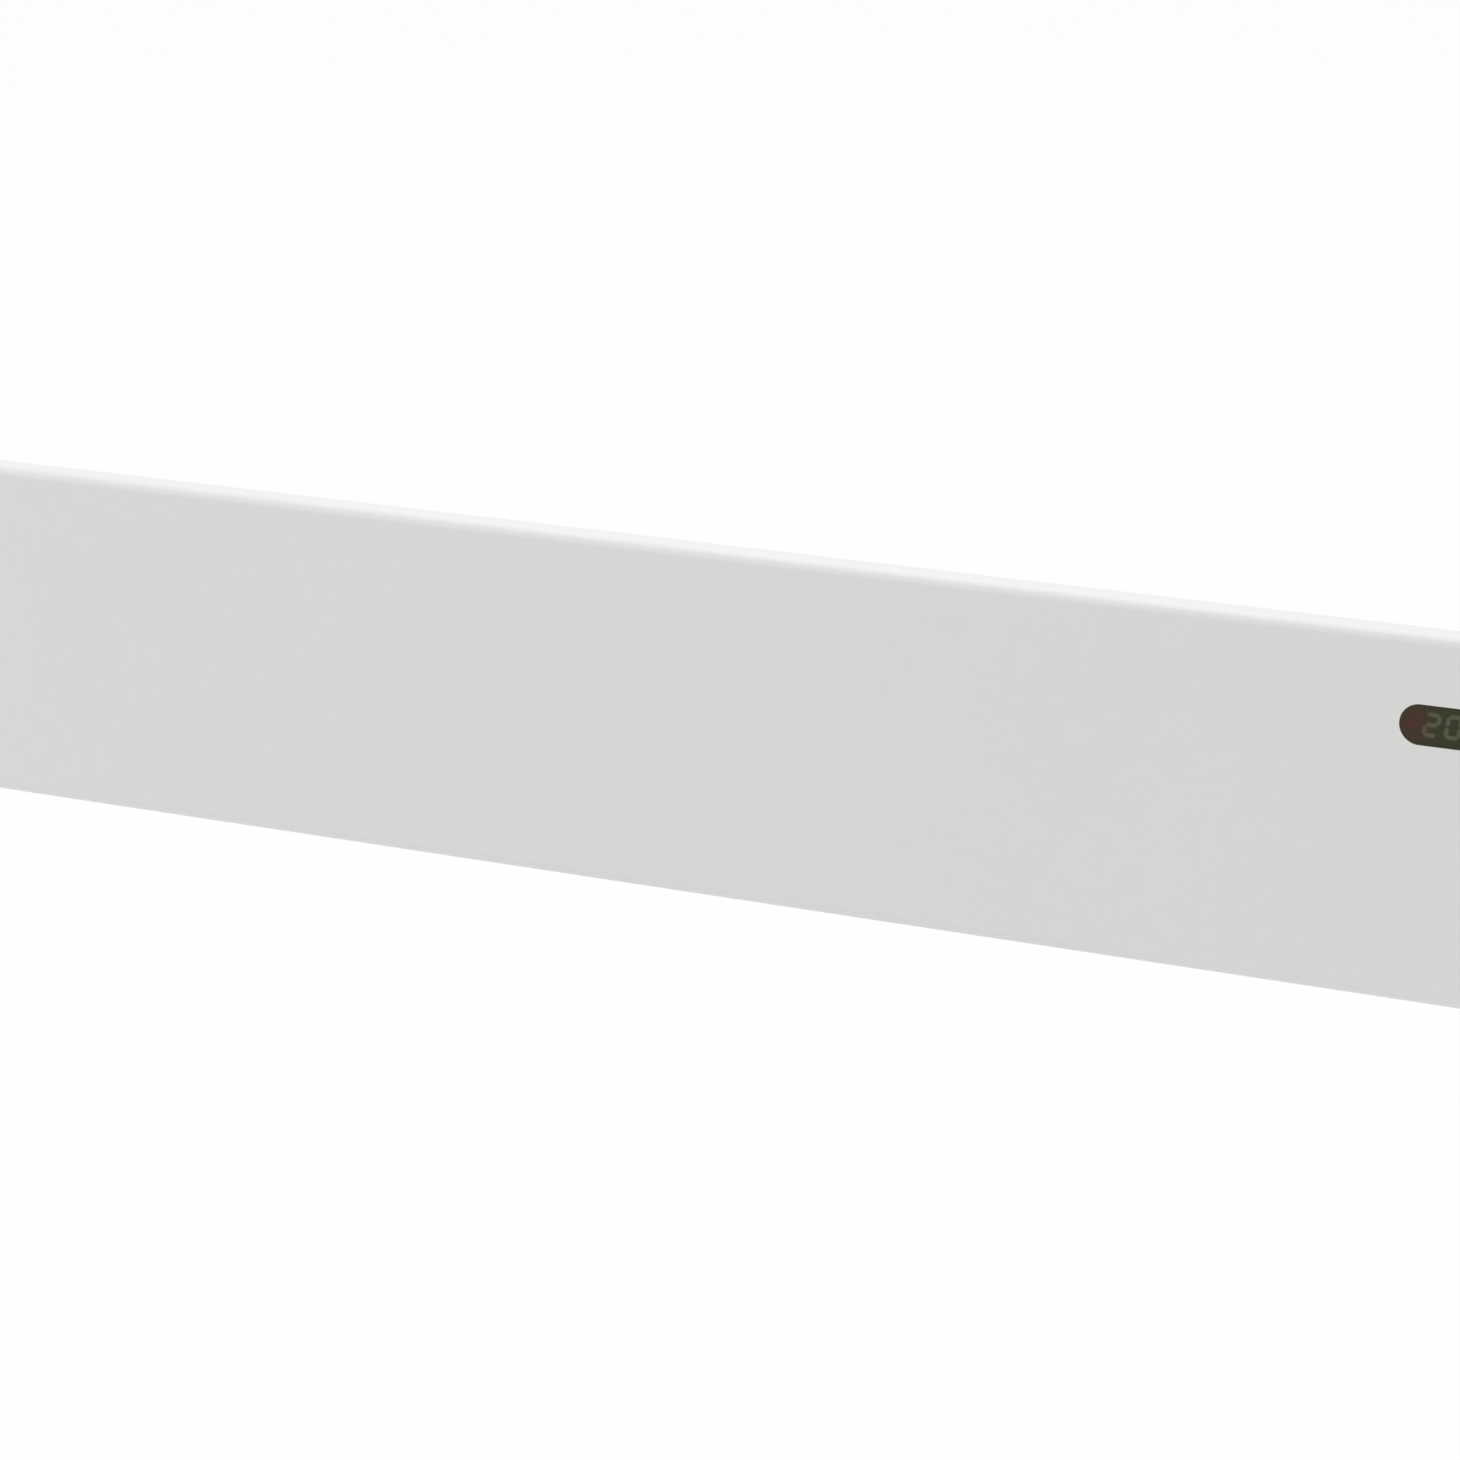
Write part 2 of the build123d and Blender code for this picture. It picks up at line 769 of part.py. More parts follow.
fin_hub_radius = rod_radius + fin_hub_wall
wing_out = fin_reach * sin(radians(fin_lean))
wing_up = fin_reach * cos(radians(fin_lean))
wing_tip = rod_spacing / 2 + wing_up
with BuildPart() as element_fins:
    with BuildSketch(Plane.YZ.offset(fin_left)):
        with Locations(at(element_depth, rod_upper), at(element_depth, rod_lower)):
            Circle(fin_hub_radius)
        with Locations(at(element_depth, element_height)):
            Rectangle(fin_wall, rod_spacing)
        for up in sides:
            for out in sides:
                middle = at(
                    element_depth + out * wing_out / 2,
                    element_height + up * (rod_spacing / 2 + wing_up / 2),
                )
                with Locations(middle):
                    Rectangle(fin_wall, fin_reach, rotation=up * out * fin_lean)
        with Locations(at(element_depth, rod_upper), at(element_depth, rod_lower)):
            Circle(rod_radius + fin_gap, mode=Mode.SUBTRACT)
    extrude(amount=fin_right - fin_left)
    # slits that let the air cross the wings
    slit_depth = wing_up - fin_hub_radius
    with BuildSketch(Plane.XZ.offset(element_depth - 2 * wing_out)):
        for up in sides:
            slit_middle = element_height + up * (wing_tip - slit_depth / 2 + fin_wall)
            with Locations(*[(x, slit_middle) for x in fin_slit_places]):
                Rectangle(fin_slit_width, slit_depth)
    extrude(amount=4 * wing_out, mode=Mode.SUBTRACT)
save(element_fins.part, "element_fins")


def bush_body(seat_x, direction):
    """Insulating bushes of both rod legs: a flange against the sheet and a neck through it."""
    with BuildPart() as bushes:
        legs = [at(element_depth, rod_upper), at(element_depth, rod_lower)]
        with BuildSketch(Plane.YZ.offset(seat_x)):
            with Locations(*legs):
                Circle(bush_flange_radius)
        extrude(amount=-direction * bush_flange)
        with BuildSketch(Plane.YZ.offset(seat_x)):
            with Locations(*legs):
                Circle(bush_radius)
        extrude(amount=direction * (divider_sheet + bush_neck))
        with BuildSketch(Plane.YZ.offset(seat_x - direction * bush_flange)):
            with Locations(*legs):
                Circle(rod_radius + fin_gap)
        extrude(amount=direction * (bush_flange + divider_sheet + bush_neck), mode=Mode.SUBTRACT)
    return bushes.part


with BuildPart() as rod_bushes:
    add(bush_body(left_bracket_x, -1))
    add(bush_body(divider_x, 1))
save(rod_bushes.part, "rod_bushes")


def foot_seats(x, heights):
    """Rivet places on the feet of a bracket whose sheet stands at x."""
    return [(x + bracket_foot / 2, height) for height in heights]


left_foot_heights = (element_height - left_foot_spread, element_height + left_foot_spread)
mid_foot_heights = (element_height - mid_foot_spread, element_height + mid_foot_spread)
divider_foot_heights = (
    casing_bottom + divider_foot_margin,
    (casing_bottom + casing_top) / 2,
    casing_top - divider_foot_margin,
)

with BuildPart() as element_bracket_left:
    bracket_front = element_depth + bush_flange_radius + bracket_front_margin
    left_bracket_height = rod_spacing + 2 * (bush_flange_radius + bracket_end_margin)
    with BuildSketch(Plane.YZ.offset(left_bracket_x)):
        with Locations(at((casing_inside + bracket_front) / 2, element_height)):
            Rectangle(bracket_front - casing_inside, left_bracket_height)
        with Locations(at(element_depth, rod_upper), at(element_depth, rod_lower)):
            Circle(bush_radius + screw_gap, mode=Mode.SUBTRACT)
    extrude(amount=-divider_sheet)
    with BuildSketch(Plane.XZ.offset(casing_inside)):
        with Locations((left_bracket_x - bracket_foot / 2, element_height)):
            Rectangle(bracket_foot, left_bracket_height)
        with Locations(*[(left_bracket_x - bracket_foot / 2, h) for h in left_foot_heights]):
            Circle(rivet_radius + screw_gap, mode=Mode.SUBTRACT)
    extrude(amount=divider_sheet)
save(element_bracket_left.part, "element_bracket_left")

with BuildPart() as element_bracket_mid:
    cradle_half = wing_out + fin_wall + cradle_side_gap
    cradle_low = element_height - wing_tip - fin_wall / 2 * sin(radians(fin_lean))
    cradle_high = element_height + wing_tip + cradle_top_gap
    frame_low = cradle_low - cradle_rail
    frame_high = cradle_high + cradle_rail
    frame_front = element_depth + cradle_half + cradle_front_rail
    with BuildSketch(Plane.YZ.offset(mid_bracket_x)):
        with Locations(at((casing_inside + frame_front) / 2, (frame_low + frame_high) / 2)):
            Rectangle(frame_front - casing_inside, frame_high - frame_low)
        with Locations(at(element_depth, (cradle_low + cradle_high) / 2)):
            Rectangle(2 * cradle_half, cradle_high - cradle_low, mode=Mode.SUBTRACT)
    extrude(amount=divider_sheet)
    with BuildSketch(Plane.XZ.offset(casing_inside)):
        with Locations((mid_bracket_x + bracket_foot / 2, (frame_low + frame_high) / 2)):
            Rectangle(bracket_foot, frame_high - frame_low)
        with Locations(*foot_seats(mid_bracket_x, mid_foot_heights)):
            Circle(rivet_radius + screw_gap, mode=Mode.SUBTRACT)
    extrude(amount=divider_sheet)
save(element_bracket_mid.part, "element_bracket_mid")

divider_low = casing_bottom + casing_bend
divider_high = casing_top - casing_bend
with BuildPart() as bay_divider:
    with BuildSketch(Plane.YZ.offset(divider_x)):
        with Locations(at((casing_inside + lip_back) / 2, (divider_low + divider_high) / 2)):
            Rectangle(lip_back - casing_inside, divider_high - divider_low)
        with Locations(at(element_depth, rod_upper), at(element_depth, rod_lower)):
            Circle(bush_radius + screw_gap, mode=Mode.SUBTRACT)
        with Locations(at(element_depth, cutout_height)):
            Circle(cutout_cap_radius + screw_clearance, mode=Mode.SUBTRACT)
        with Locations(*[at(element_depth + s * cutout_rivet_offset, cutout_height) for s in sides]):
            Circle(rivet_radius + screw_gap, mode=Mode.SUBTRACT)
    extrude(amount=divider_sheet)
    with BuildSketch(Plane.XZ.offset(casing_inside)):
        with Locations((divider_x + bracket_foot / 2, (divider_low + divider_high) / 2)):
            Rectangle(bracket_foot, divider_high - divider_low)
        with Locations(*foot_seats(divider_x, divider_foot_heights)):
            Circle(rivet_radius + screw_gap, mode=Mode.SUBTRACT)
    extrude(amount=divider_sheet)
save(bay_divider.part, "bay_divider")

# ---------------------------------------------------------------- overheat cut-out
# A bimetal disc on the divider: its cap looks into the hot chamber through a hole.
with BuildPart() as overheat_cutout:
    cutout_flange_back = divider_x + divider_sheet
    cutout_body_end = cutout_flange_back + cutout_flange + cutout_body
    with BuildSketch(Plane.YZ.offset(cutout_flange_back)):
        with Locations(at(element_depth, cutout_height)):
            SlotOverall(cutout_flange_length, cutout_radius)
            Circle(cutout_radius + cutout_flange)
    extrude(amount=cutout_flange)
    with BuildSketch(Plane.YZ.offset(cutout_flange_back + cutout_flange)):
        with Locations(at(element_depth, cutout_height)):
            Circle(cutout_radius)
    extrude(amount=cutout_body)
    with BuildSketch(Plane.YZ.offset(cutout_flange_back)):
        with Locations(at(element_depth, cutout_height)):
            Circle(cutout_cap_radius)
    extrude(amount=-divider_sheet - cutout_cap_reach)
    with BuildSketch(Plane.YZ.offset(cutout_body_end)):
        with Locations(*[at(element_depth + s * cutout_tab_offset, cutout_height) for s in sides]):
            Rectangle(blade_thickness, blade_width)
    extrude(amount=cutout_tab_length)
    with BuildSketch(Plane.YZ.offset(cutout_flange_back)):
        with Locations(*[at(element_depth + s * cutout_rivet_offset, cutout_height) for s in sides]):
            Circle(rivet_radius + screw_gap)
    extrude(amount=cutout_flange, mode=Mode.SUBTRACT)
save(overheat_cutout.part, "overheat_cutout")

# ---------------------------------------------------------------- window and display
with BuildPart() as display_lens:
    with BuildSketch(Plane.XZ.offset(lens_back)):
        with Locations((window_centre, window_rise)):
            SlotOverall(window_length + 2 * lens_flange, window_height + 2 * lens_flange)
    extrude(amount=lens_flange_thickness)
    with BuildSketch(Plane.XZ.offset(panel_inside)):
        with Locations((window_centre, window_rise)):
            SlotOverall(window_length - 2 * window_gap, window_height - 2 * window_gap)
    extrude(amount=panel_sheet)
    fillet(display_lens.faces().sort_by(Axis.Y)[0].edges(), lens_edge)
    with BuildSketch(Plane.XZ.offset(lens_back)):
        with Locations(*[(x, window_rise) for x in button_places]):
            Circle(button_radius + button_gap)
    extrude(amount=lens_flange_thickness + panel_sheet, mode=Mode.SUBTRACT)
save(display_lens.part, "display_lens")

display_centre = window_left + digits_from_left
display_face = lens_back - display_gap
with BuildPart() as digit_display:
    with BuildSketch(Plane.XZ.offset(board_front)):
        with Locations((display_centre, window_rise)):
            Rectangle(display_length, display_height)
    extrude(amount=display_face - board_front)
    fillet(digit_display.faces().sort_by(Axis.Y)[0].edges(), display_edge)
save(digit_display.part, "digit_display")

# The lit bars of a two and a nought: a top bar, a middle bar, a bottom bar, and the uprights.
bar_rise = digit_height / 2 - segment_width / 2
bar_run = digit_width / 2
upright_rise = bar_rise / 2
digit_bars = {
    "2": ["top", "middle", "bottom", "upper_right", "lower_left"],
    "0": ["top", "bottom", "upper_right", "lower_right", "upper_left", "lower_left"],
}
bar_places = {
    "top": (0, bar_rise, 0),
    "middle": (0, 0, 0),
    "bottom": (0, -bar_rise, 0),
    "upper_right": (bar_run, upright_rise, 90),
    "lower_right": (bar_run, -upright_rise, 90),
    "upper_left": (-bar_run, upright_rise, 90),
    "lower_left": (-bar_run, -upright_rise, 90),
}
slant_run = tan(radians(digit_slant))
with BuildPart() as digit_segments:
    with BuildSketch(Plane.XZ.offset(display_face)):
        for digit, offset_in_pitch in (("2", -0.5), ("0", 0.5)):
            centre = display_centre + offset_in_pitch * digit_pitch
            for bar in digit_bars[digit]:
                run, rise, turn = bar_places[bar]
                tip = (bar_rise if turn else digit_width) / 2 - segment_end_gap
                shoulder = tip - segment_width / 2
                place = (centre + run + rise * slant_run, window_rise + rise)
                with Locations(place):
                    with Locations(Location((0, 0, 0), (0, 0, turn - digit_slant if turn else 0))):
                        Polygon(
                            (-tip, 0),
                            (-shoulder, segment_width / 2),
                            (shoulder, segment_width / 2),
                            (tip, 0),
                            (shoulder, -segment_width / 2),
                            (-shoulder, -segment_width / 2),
                            align=None,
                        )
    extrude(amount=segment_thickness)
save(digit_segments.part, "digit_segments")

with BuildPart() as status_led:
    with BuildSketch(Plane.XZ.offset(board_front)):
        with Locations((window_left + led_from_left, window_rise)):
            Circle(led_radius)
    extrude(amount=display_face - board_front)
    fillet(status_led.edges().sort_by(Axis.Y)[0], led_dome)
    with BuildSketch(Plane.XZ.offset(board_front)):
        with Locations((window_left + led_from_left, window_rise)):
            Circle(led_radius + led_rim)
    extrude(amount=led_rim_thickness)
save(status_led.part, "status_led")


# ---------------------------------------------------------------- buttons and their switches
plunger_front = board_front + switch_body_height + plunger_reach
stem_back = plunger_front + button_travel + press_clearance


def button(x):
    """Round push button: cap through the lens, flange behind it, stem towards its switch."""
    with BuildPart() as cap:
        with BuildSketch(Plane.XZ.offset(lens_back - button_flange_thickness)):
            with Locations((x, window_rise)):
                Circle(button_radius)
        extrude(amount=front_depth + button_proud - lens_back + button_flange_thickness)
        fillet(cap.edges().sort_by(Axis.Y)[0], button_edge)
        with BuildSketch(Plane.XZ.offset(lens_back - button_flange_thickness)):
            with Locations((x, window_rise)):
                Circle(button_radius + button_flange)
        extrude(amount=button_flange_thickness)
        with BuildSketch(Plane.XZ.offset(stem_back)):
            with Locations((x, window_rise)):
                Circle(button_stem_radius)
        extrude(amount=lens_back - button_flange_thickness - stem_back)
    return cap.part


for name, x in zip(("button_minus", "button_plus", "button_mode"), button_places):
    save(button(x), name)

with BuildPart() as tact_switches:
    with BuildSketch(Plane.XZ.offset(board_front)):
        with Locations(*[(x, window_rise) for x in button_places]):
            Rectangle(switch_side, switch_side)
    extrude(amount=switch_body_height)
    with BuildSketch(Plane.XZ.offset(board_front + switch_body_height)):
        with Locations(*[(x, window_rise) for x in button_places]):
            Circle(plunger_radius)
    extrude(amount=plunger_front - board_front - switch_body_height)
save(tact_switches.part, "tact_switches")

# ---------------------------------------------------------------- control unit
cavity_length = housing_length - 2 * housing_wall
cavity_height = housing_height - 2 * housing_wall
post_x = cavity_length / 2 - board_post_radius + board_post_overlap
post_z = cavity_height / 2 - board_post_radius + board_post_overlap
post_places = [(window_centre + s * post_x, window_rise + t * post_z) for s in sides for t in sides]
lead_row_centre = window_centre - lead_port_shift
lead_row_length = (lead_ports_in_row - 1) * lead_port_pitch
lead_ports = [lead_row_centre - lead_row_length / 2 + i * lead_port_pitch for i in range(lead_ports_in_row)]
lead_port_depth = board_back - connector_depth / 2

with BuildPart() as control_housing:
    with BuildSketch(Plane.XZ.offset(housing_back)):
        with Locations((window_centre, window_rise)):
            RectangleRounded(housing_length, housing_height, housing_corner)
    extrude(amount=panel_inside - housing_back)
    with BuildSketch(Plane.XZ.offset(housing_back)):
        with Locations((window_centre, window_rise)):
            RectangleRounded(cavity_length, cavity_height, cavity_corner)
    extrude(amount=panel_inside - housing_back, mode=Mode.SUBTRACT)
    with BuildSketch(Plane.XZ.offset(board_front)):
        with Locations(*post_places):
            Circle(board_post_radius)
    extrude(amount=lens_back - board_front)
    with BuildSketch(Plane.XZ.offset(board_front)):
        with Locations(*post_places):
            Circle(board_screw_radius + screw_gap)
    extrude(amount=board_screw_hole, mode=Mode.SUBTRACT)
    # ears on the weld studs
    with BuildSketch(Plane.XZ.offset(panel_inside - housing_wall)):
        for x, z in stud_places:
            with Locations((x, z)):
                Circle(ear_radius)
        with Locations((window_centre, window_rise)):
            Rectangle(housing_length + 2 * ear_radius, 2 * ear_radius)
            Rectangle(cavity_length, cavity_height, mode=Mode.SUBTRACT)
        with Locations(*stud_places):
            Circle(stud_radius + screw_gap, mode=Mode.SUBTRACT)
    extrude(amount=housing_wall)
    # ports for the leads in the lower wall
    with BuildSketch(Plane.XY.offset(window_rise - housing_height / 2)):
        with Locations(*[(x, -lead_port_depth) for x in lead_ports]):
            Circle(lead_port_radius)
    extrude(amount=housing_wall, mode=Mode.SUBTRACT)
save(control_housing.part, "control_housing")

rim_length = cavity_length - board_gap
rim_height = cavity_height - board_gap
with BuildPart() as control_cover:
    with BuildSketch(Plane.XZ.offset(housing_back - housing_wall)):
        with Locations((window_centre, window_rise)):
            RectangleRounded(housing_length, housing_height, housing_corner)
    extrude(amount=housing_wall)
    with BuildSketch(Plane.XZ.offset(housing_back)):
        with Locations((window_centre, window_rise)):
            RectangleRounded(rim_length, rim_height, cavity_corner)
            RectangleRounded(
                rim_length - 2 * cover_rim, rim_height - 2 * cover_rim, cavity_corner, mode=Mode.SUBTRACT
            )
    extrude(amount=cover_rim_height)
    with BuildSketch(Plane.XZ.offset(housing_back - housing_wall)):
        with Locations((window_centre, window_rise)):
            with GridLocations(vent_pitch, vent_row_pitch, vents_in_row, 2):
                SlotOverall(vent_length, vent_width, rotation=90)
    extrude(amount=housing_wall, mode=Mode.SUBTRACT)
save(control_cover.part, "control_cover")

with BuildPart() as control_board:
    with BuildSketch(Plane.XZ.offset(board_back)):
        with Locations((window_centre, window_rise)):
            Rectangle(cavity_length - 2 * board_gap, cavity_height - 2 * board_gap)
        with Locations(*post_places):
            Circle(board_screw_radius + screw_clearance, mode=Mode.SUBTRACT)
    extrude(amount=board_thickness)
save(control_board.part, "control_board")

power_row = window_rise + power_row_rise
relay_x = window_centre + relay_from_centre
transformer_x = window_centre + transformer_from_centre
capacitor_x = window_centre + capacitor_from_centre
connector_bottom = window_rise - cavity_height / 2 + connector_floor_gap
connector_middle = connector_bottom + connector_height / 2

with BuildPart() as power_relay:
    with BuildSketch(Plane.XZ.offset(board_back)):
        with Locations((relay_x, power_row)):
            Rectangle(relay_length, relay_height)
    extrude(amount=-relay_depth)
    fillet(power_relay.edges().filter_by(Axis.Y), component_edge)
save(power_relay.part, "power_relay")

with BuildPart() as power_transformer:
    with BuildSketch(Plane.XZ.offset(board_back)):
        with Locations((transformer_x, power_row)):
            Rectangle(transformer_length, transformer_height)
    extrude(amount=-transformer_flange)
    with BuildSketch(Plane.XZ.offset(board_back - transformer_flange)):
        with Locations((transformer_x, power_row)):
            Rectangle(transformer_length - 2 * coil_end_gap, transformer_height - 2 * coil_side_gap)
    extrude(amount=-(transformer_depth - 2 * transformer_flange))
    with BuildSketch(Plane.XZ.offset(board_back - transformer_depth + transformer_flange)):
        with Locations((transformer_x, power_row)):
            Rectangle(transformer_length, transformer_height)
    extrude(amount=-transformer_flange)
save(power_transformer.part, "power_transformer")

with BuildPart() as power_capacitor:
    with BuildSketch(Plane.XZ.offset(board_back)):
        with Locations((capacitor_x, power_row)):
            Circle(capacitor_radius)
    extrude(amount=-capacitor_height)
    fillet(power_capacitor.edges().sort_by(Axis.Y)[-1], component_edge)
save(power_capacitor.part, "power_capacitor")

with BuildPart() as board_connector:
    with BuildSketch(Plane.XZ.offset(board_back)):
        with Locations((lead_row_centre, connector_middle)):
            Rectangle(lead_row_length + lead_port_pitch, connector_height)
    extrude(amount=-connector_depth)
    # screw heads of the clamps, above the lead ports
    with BuildSketch(Plane.XZ.offset(board_back - connector_depth)):
        with Locations(*[(x, connector_middle) for x in lead_ports]):
            Circle(clamp_radius)
    extrude(amount=clamp_recess, mode=Mode.SUBTRACT)
save(board_connector.part, "board_connector")

board_screw = screw(
    board_screw_length, board_screw_head_radius, board_screw_head_height, board_screw_radius
)
board_screw_seats = [Plane(origin=(x, -board_back, z), z_dir=(0, 1, 0)) for x, z in post_places]
save(group_of(board_screw, board_screw_seats), "board_screws")

# ---------------------------------------------------------------- rocker switch
bezel_face = cap_outside + bezel_thickness
rocker_axis_x = bezel_face - rocker_proud
recess_floor = rocker_axis_x - rocker_hub_radius - rocker_floor_gap
recess_half = rocker_half + rocker_end_gap
pin_reach = rocker_half_width + rocker_pin_reach
pin_seat_reach = pin_reach + rocker_pin_end_gap
body_inner_end = cap_outside - switch_body_length

with BuildPart() as switch_body:
    with BuildSketch(Plane.YZ.offset(body_inner_end)):
        with Locations(at(rocker_depth, rocker_height)):
            Rectangle(switch_hole_width - 2 * switch_hole_gap, switch_hole_height - 2 * switch_hole_gap)
    extrude(amount=cap_outside - body_inner_end)
    with BuildSketch(Plane.YZ.offset(cap_outside)):
        with Locations(at(rocker_depth, rocker_height)):
            RectangleRounded(
                switch_hole_width + 2 * bezel_overlap, switch_hole_height + 2 * bezel_overlap, bezel_corner
            )
    extrude(amount=bezel_thickness)
    fillet(switch_body.faces().sort_by(Axis.X)[-1].edges(), bezel_edge)
    with BuildSketch(Plane.YZ.offset(recess_floor)):
        with Locations(at(rocker_depth, rocker_height)):
            Rectangle(2 * (rocker_half_width + rocker_side_gap), 2 * recess_half)
    extrude(amount=bezel_face - recess_floor, mode=Mode.SUBTRACT)
    # seats of the rocker's two pins
    with BuildSketch(Plane.XZ.offset(rocker_depth - pin_seat_reach)):
        with Locations((rocker_axis_x, rocker_height)):
            Circle(rocker_pin_radius + rocker_pin_gap)
    extrude(amount=2 * pin_seat_reach, mode=Mode.SUBTRACT)
save(switch_body.part, "switch_body")

# The rocker is drawn level, then turned by half its swing: the ON side is pressed in.
rocker_level = Plane(
    origin=(rocker_axis_x, -(rocker_depth - rocker_half_width), rocker_height),
    x_dir=(cos(radians(rocker_swing / 2)), 0, sin(radians(rocker_swing / 2))),
    z_dir=(0, -1, 0),
)
with BuildPart() as switch_rocker:
    with BuildSketch(rocker_level):
        Circle(rocker_hub_radius)
        with BuildLine():
            Polyline(
                (rocker_back, -rocker_half),
                (rocker_horn, -rocker_half),
                (rocker_saddle, 0),
                (rocker_horn, rocker_half),
                (rocker_back, rocker_half),
                (rocker_belly, 0),
                close=True,
            )
        make_face()
    extrude(amount=2 * rocker_half_width)
    with BuildSketch(rocker_level.offset(-rocker_pin_reach)):
        Circle(rocker_pin_radius)
    extrude(amount=2 * pin_reach)
save(switch_rocker.part, "switch_rocker")

with BuildPart() as switch_terminals:
    with BuildSketch(Plane.YZ.offset(body_inner_end)):
        with Locations(*[at(rocker_depth, rocker_height + s * switch_blade_offset) for s in sides]):
            Rectangle(blade_width, blade_thickness)
    extrude(amount=-switch_blade_length)
save(switch_terminals.part, "switch_terminals")

# ---------------------------------------------------------------- cable inlet
with BuildPart() as cable_gland:
    with BuildSketch(Plane.XY.offset(casing_bottom)):
        with Locations((gland_x, -gland_depth)):
            Circle(gland_flange_radius)
    extrude(amount=-gland_flange)
    fillet(cable_gland.edges().sort_by(Axis.Z)[0], gland_edge)
    with BuildSketch(Plane.XY.offset(casing_bottom)):
        with Locations((gland_x, -gland_depth)):
            Circle(gland_body_radius)
    extrude(amount=gland_inside)
    with BuildSketch(Plane.XY.offset(casing_bottom - gland_flange)):
        with Locations((gland_x, -gland_depth)):
            Circle(gland_bore_radius)
    extrude(amount=gland_inside + gland_flange, mode=Mode.SUBTRACT)
save(cable_gland.part, "cable_gland")

with BuildPart() as gland_nut:
    with BuildSketch(Plane.XY.offset(casing_bottom + casing_sheet)):
        with Locations((gland_x, -gland_depth)):
            RegularPolygon(gland_nut_radius, 6)
            Circle(gland_body_radius + screw_gap, mode=Mode.SUBTRACT)
    extrude(amount=gland_nut_thickness)
save(gland_nut.part, "gland_nut")

# ---------------------------------------------------------------- terminal block
block_front = casing_inside + block_thickness
block_depth = casing_inside + block_thickness / 2
block_bottom = terminal_block_height - block_height / 2
block_top = terminal_block_height + block_height / 2
with BuildPart() as terminal_block:
    with BuildSketch(Plane.XZ.offset(casing_inside)):
        with Locations((terminal_block_x, terminal_block_height)):
            RectangleRounded(block_length, block_height, block_corner)
    extrude(amount=block_thickness)
    with BuildSketch(Plane.XZ.offset(block_front - block_screw_hole_depth)):
        with Locations((terminal_block_x, terminal_block_height)):
            with GridLocations(block_pitch, block_pitch, block_ways, 1):
                Circle(block_screw_hole_radius)
    extrude(amount=block_screw_hole_depth, mode=Mode.SUBTRACT)
    # wire entries, from below and from above
    with BuildSketch(Plane.XY.offset(block_bottom)):
        with Locations((terminal_block_x, -block_depth)):
            with GridLocations(block_pitch, block_pitch, block_ways, 1):
                Circle(lead_radius + block_entry_gap)
    extrude(amount=block_entry_depth, mode=Mode.SUBTRACT)
    with BuildSketch(Plane.XY.offset(block_top)):
        with Locations((terminal_block_x, -block_depth)):
            with GridLocations(block_pitch, block_pitch, block_ways, 1):
                Circle(lead_radius + block_entry_gap)
    extrude(amount=-block_entry_depth, mode=Mode.SUBTRACT)
save(terminal_block.part, "terminal_block")

# ---------------------------------------------------------------- earth stud
earth_washer_top = casing_inside + earth_washer_thickness
with BuildPart() as earth_stud:
    with BuildSketch(Plane.XZ.offset(casing_inside)):
        with Locations((earth_x, earth_height)):
            Circle(earth_stud_radius)
    extrude(amount=earth_stud_length)
    with BuildSketch(Plane.XZ.offset(casing_inside)):
        with Locations((earth_x, earth_height)):
            Circle(earth_washer_radius)
    extrude(amount=earth_washer_thickness)
    # the nut holds the earth lead down
    with BuildSketch(Plane.XZ.offset(earth_washer_top + 2 * lead_radius)):
        with Locations((earth_x, earth_height)):
            RegularPolygon(earth_nut_radius, 6)
    extrude(amount=earth_nut_height)
save(earth_stud.part, "earth_stud")

# ---------------------------------------------------------------- room sensor
holder_radius = sensor_radius + sensor_holder_wall
holder_bottom = casing_bottom - sensor_holder_proud
holder_top = casing_bottom + casing_sheet + sensor_holder_flange_thickness
sensor_tip = casing_bottom - sensor_proud
with BuildPart() as sensor_holder:
    with BuildSketch(Plane.XY.offset(casing_bottom + casing_sheet)):
        with Locations((sensor_x, -sensor_depth)):
            Circle(holder_radius + sensor_holder_flange)
    extrude(amount=sensor_holder_flange_thickness)
    with BuildSketch(Plane.XY.offset(holder_bottom)):
        with Locations((sensor_x, -sensor_depth)):
            Circle(holder_radius)
    extrude(amount=casing_bottom + casing_sheet - holder_bottom)
    with BuildSketch(Plane.XY.offset(holder_bottom)):
        with Locations((sensor_x, -sensor_depth)):
            Circle(sensor_radius + screw_gap)
    extrude(amount=holder_top - holder_bottom, mode=Mode.SUBTRACT)
save(sensor_holder.part, "sensor_holder")

with BuildPart() as air_sensor:
    with BuildSketch(Plane.XY.offset(sensor_tip)):
        with Locations((sensor_x, -sensor_depth)):
            Circle(sensor_radius)
    extrude(amount=sensor_length)
    fillet(air_sensor.edges().sort_by(Axis.Z)[0], sensor_tip_rounding)
save(air_sensor.part, "air_sensor")

# ---------------------------------------------------------------- rivets and screws
rivet_places = [(left_bracket_x - bracket_foot / 2, h) for h in left_foot_heights]
rivet_places += foot_seats(mid_bracket_x, mid_foot_heights)
rivet_places += foot_seats(divider_x, divider_foot_heights)
rivet_seats = [Plane(origin=(x, -casing_inside - casing_sheet, z), z_dir=(0, -1, 0)) for x, z in rivet_places]
rivet_seats += [
    Plane(
        origin=(cutout_flange_back + cutout_flange, -(element_depth + s * cutout_rivet_offset), cutout_height),
        z_dir=(1, 0, 0),
    )
    for s in sides
]
save(group_of(rivet(2 * casing_sheet), rivet_seats), "bracket_rivets")

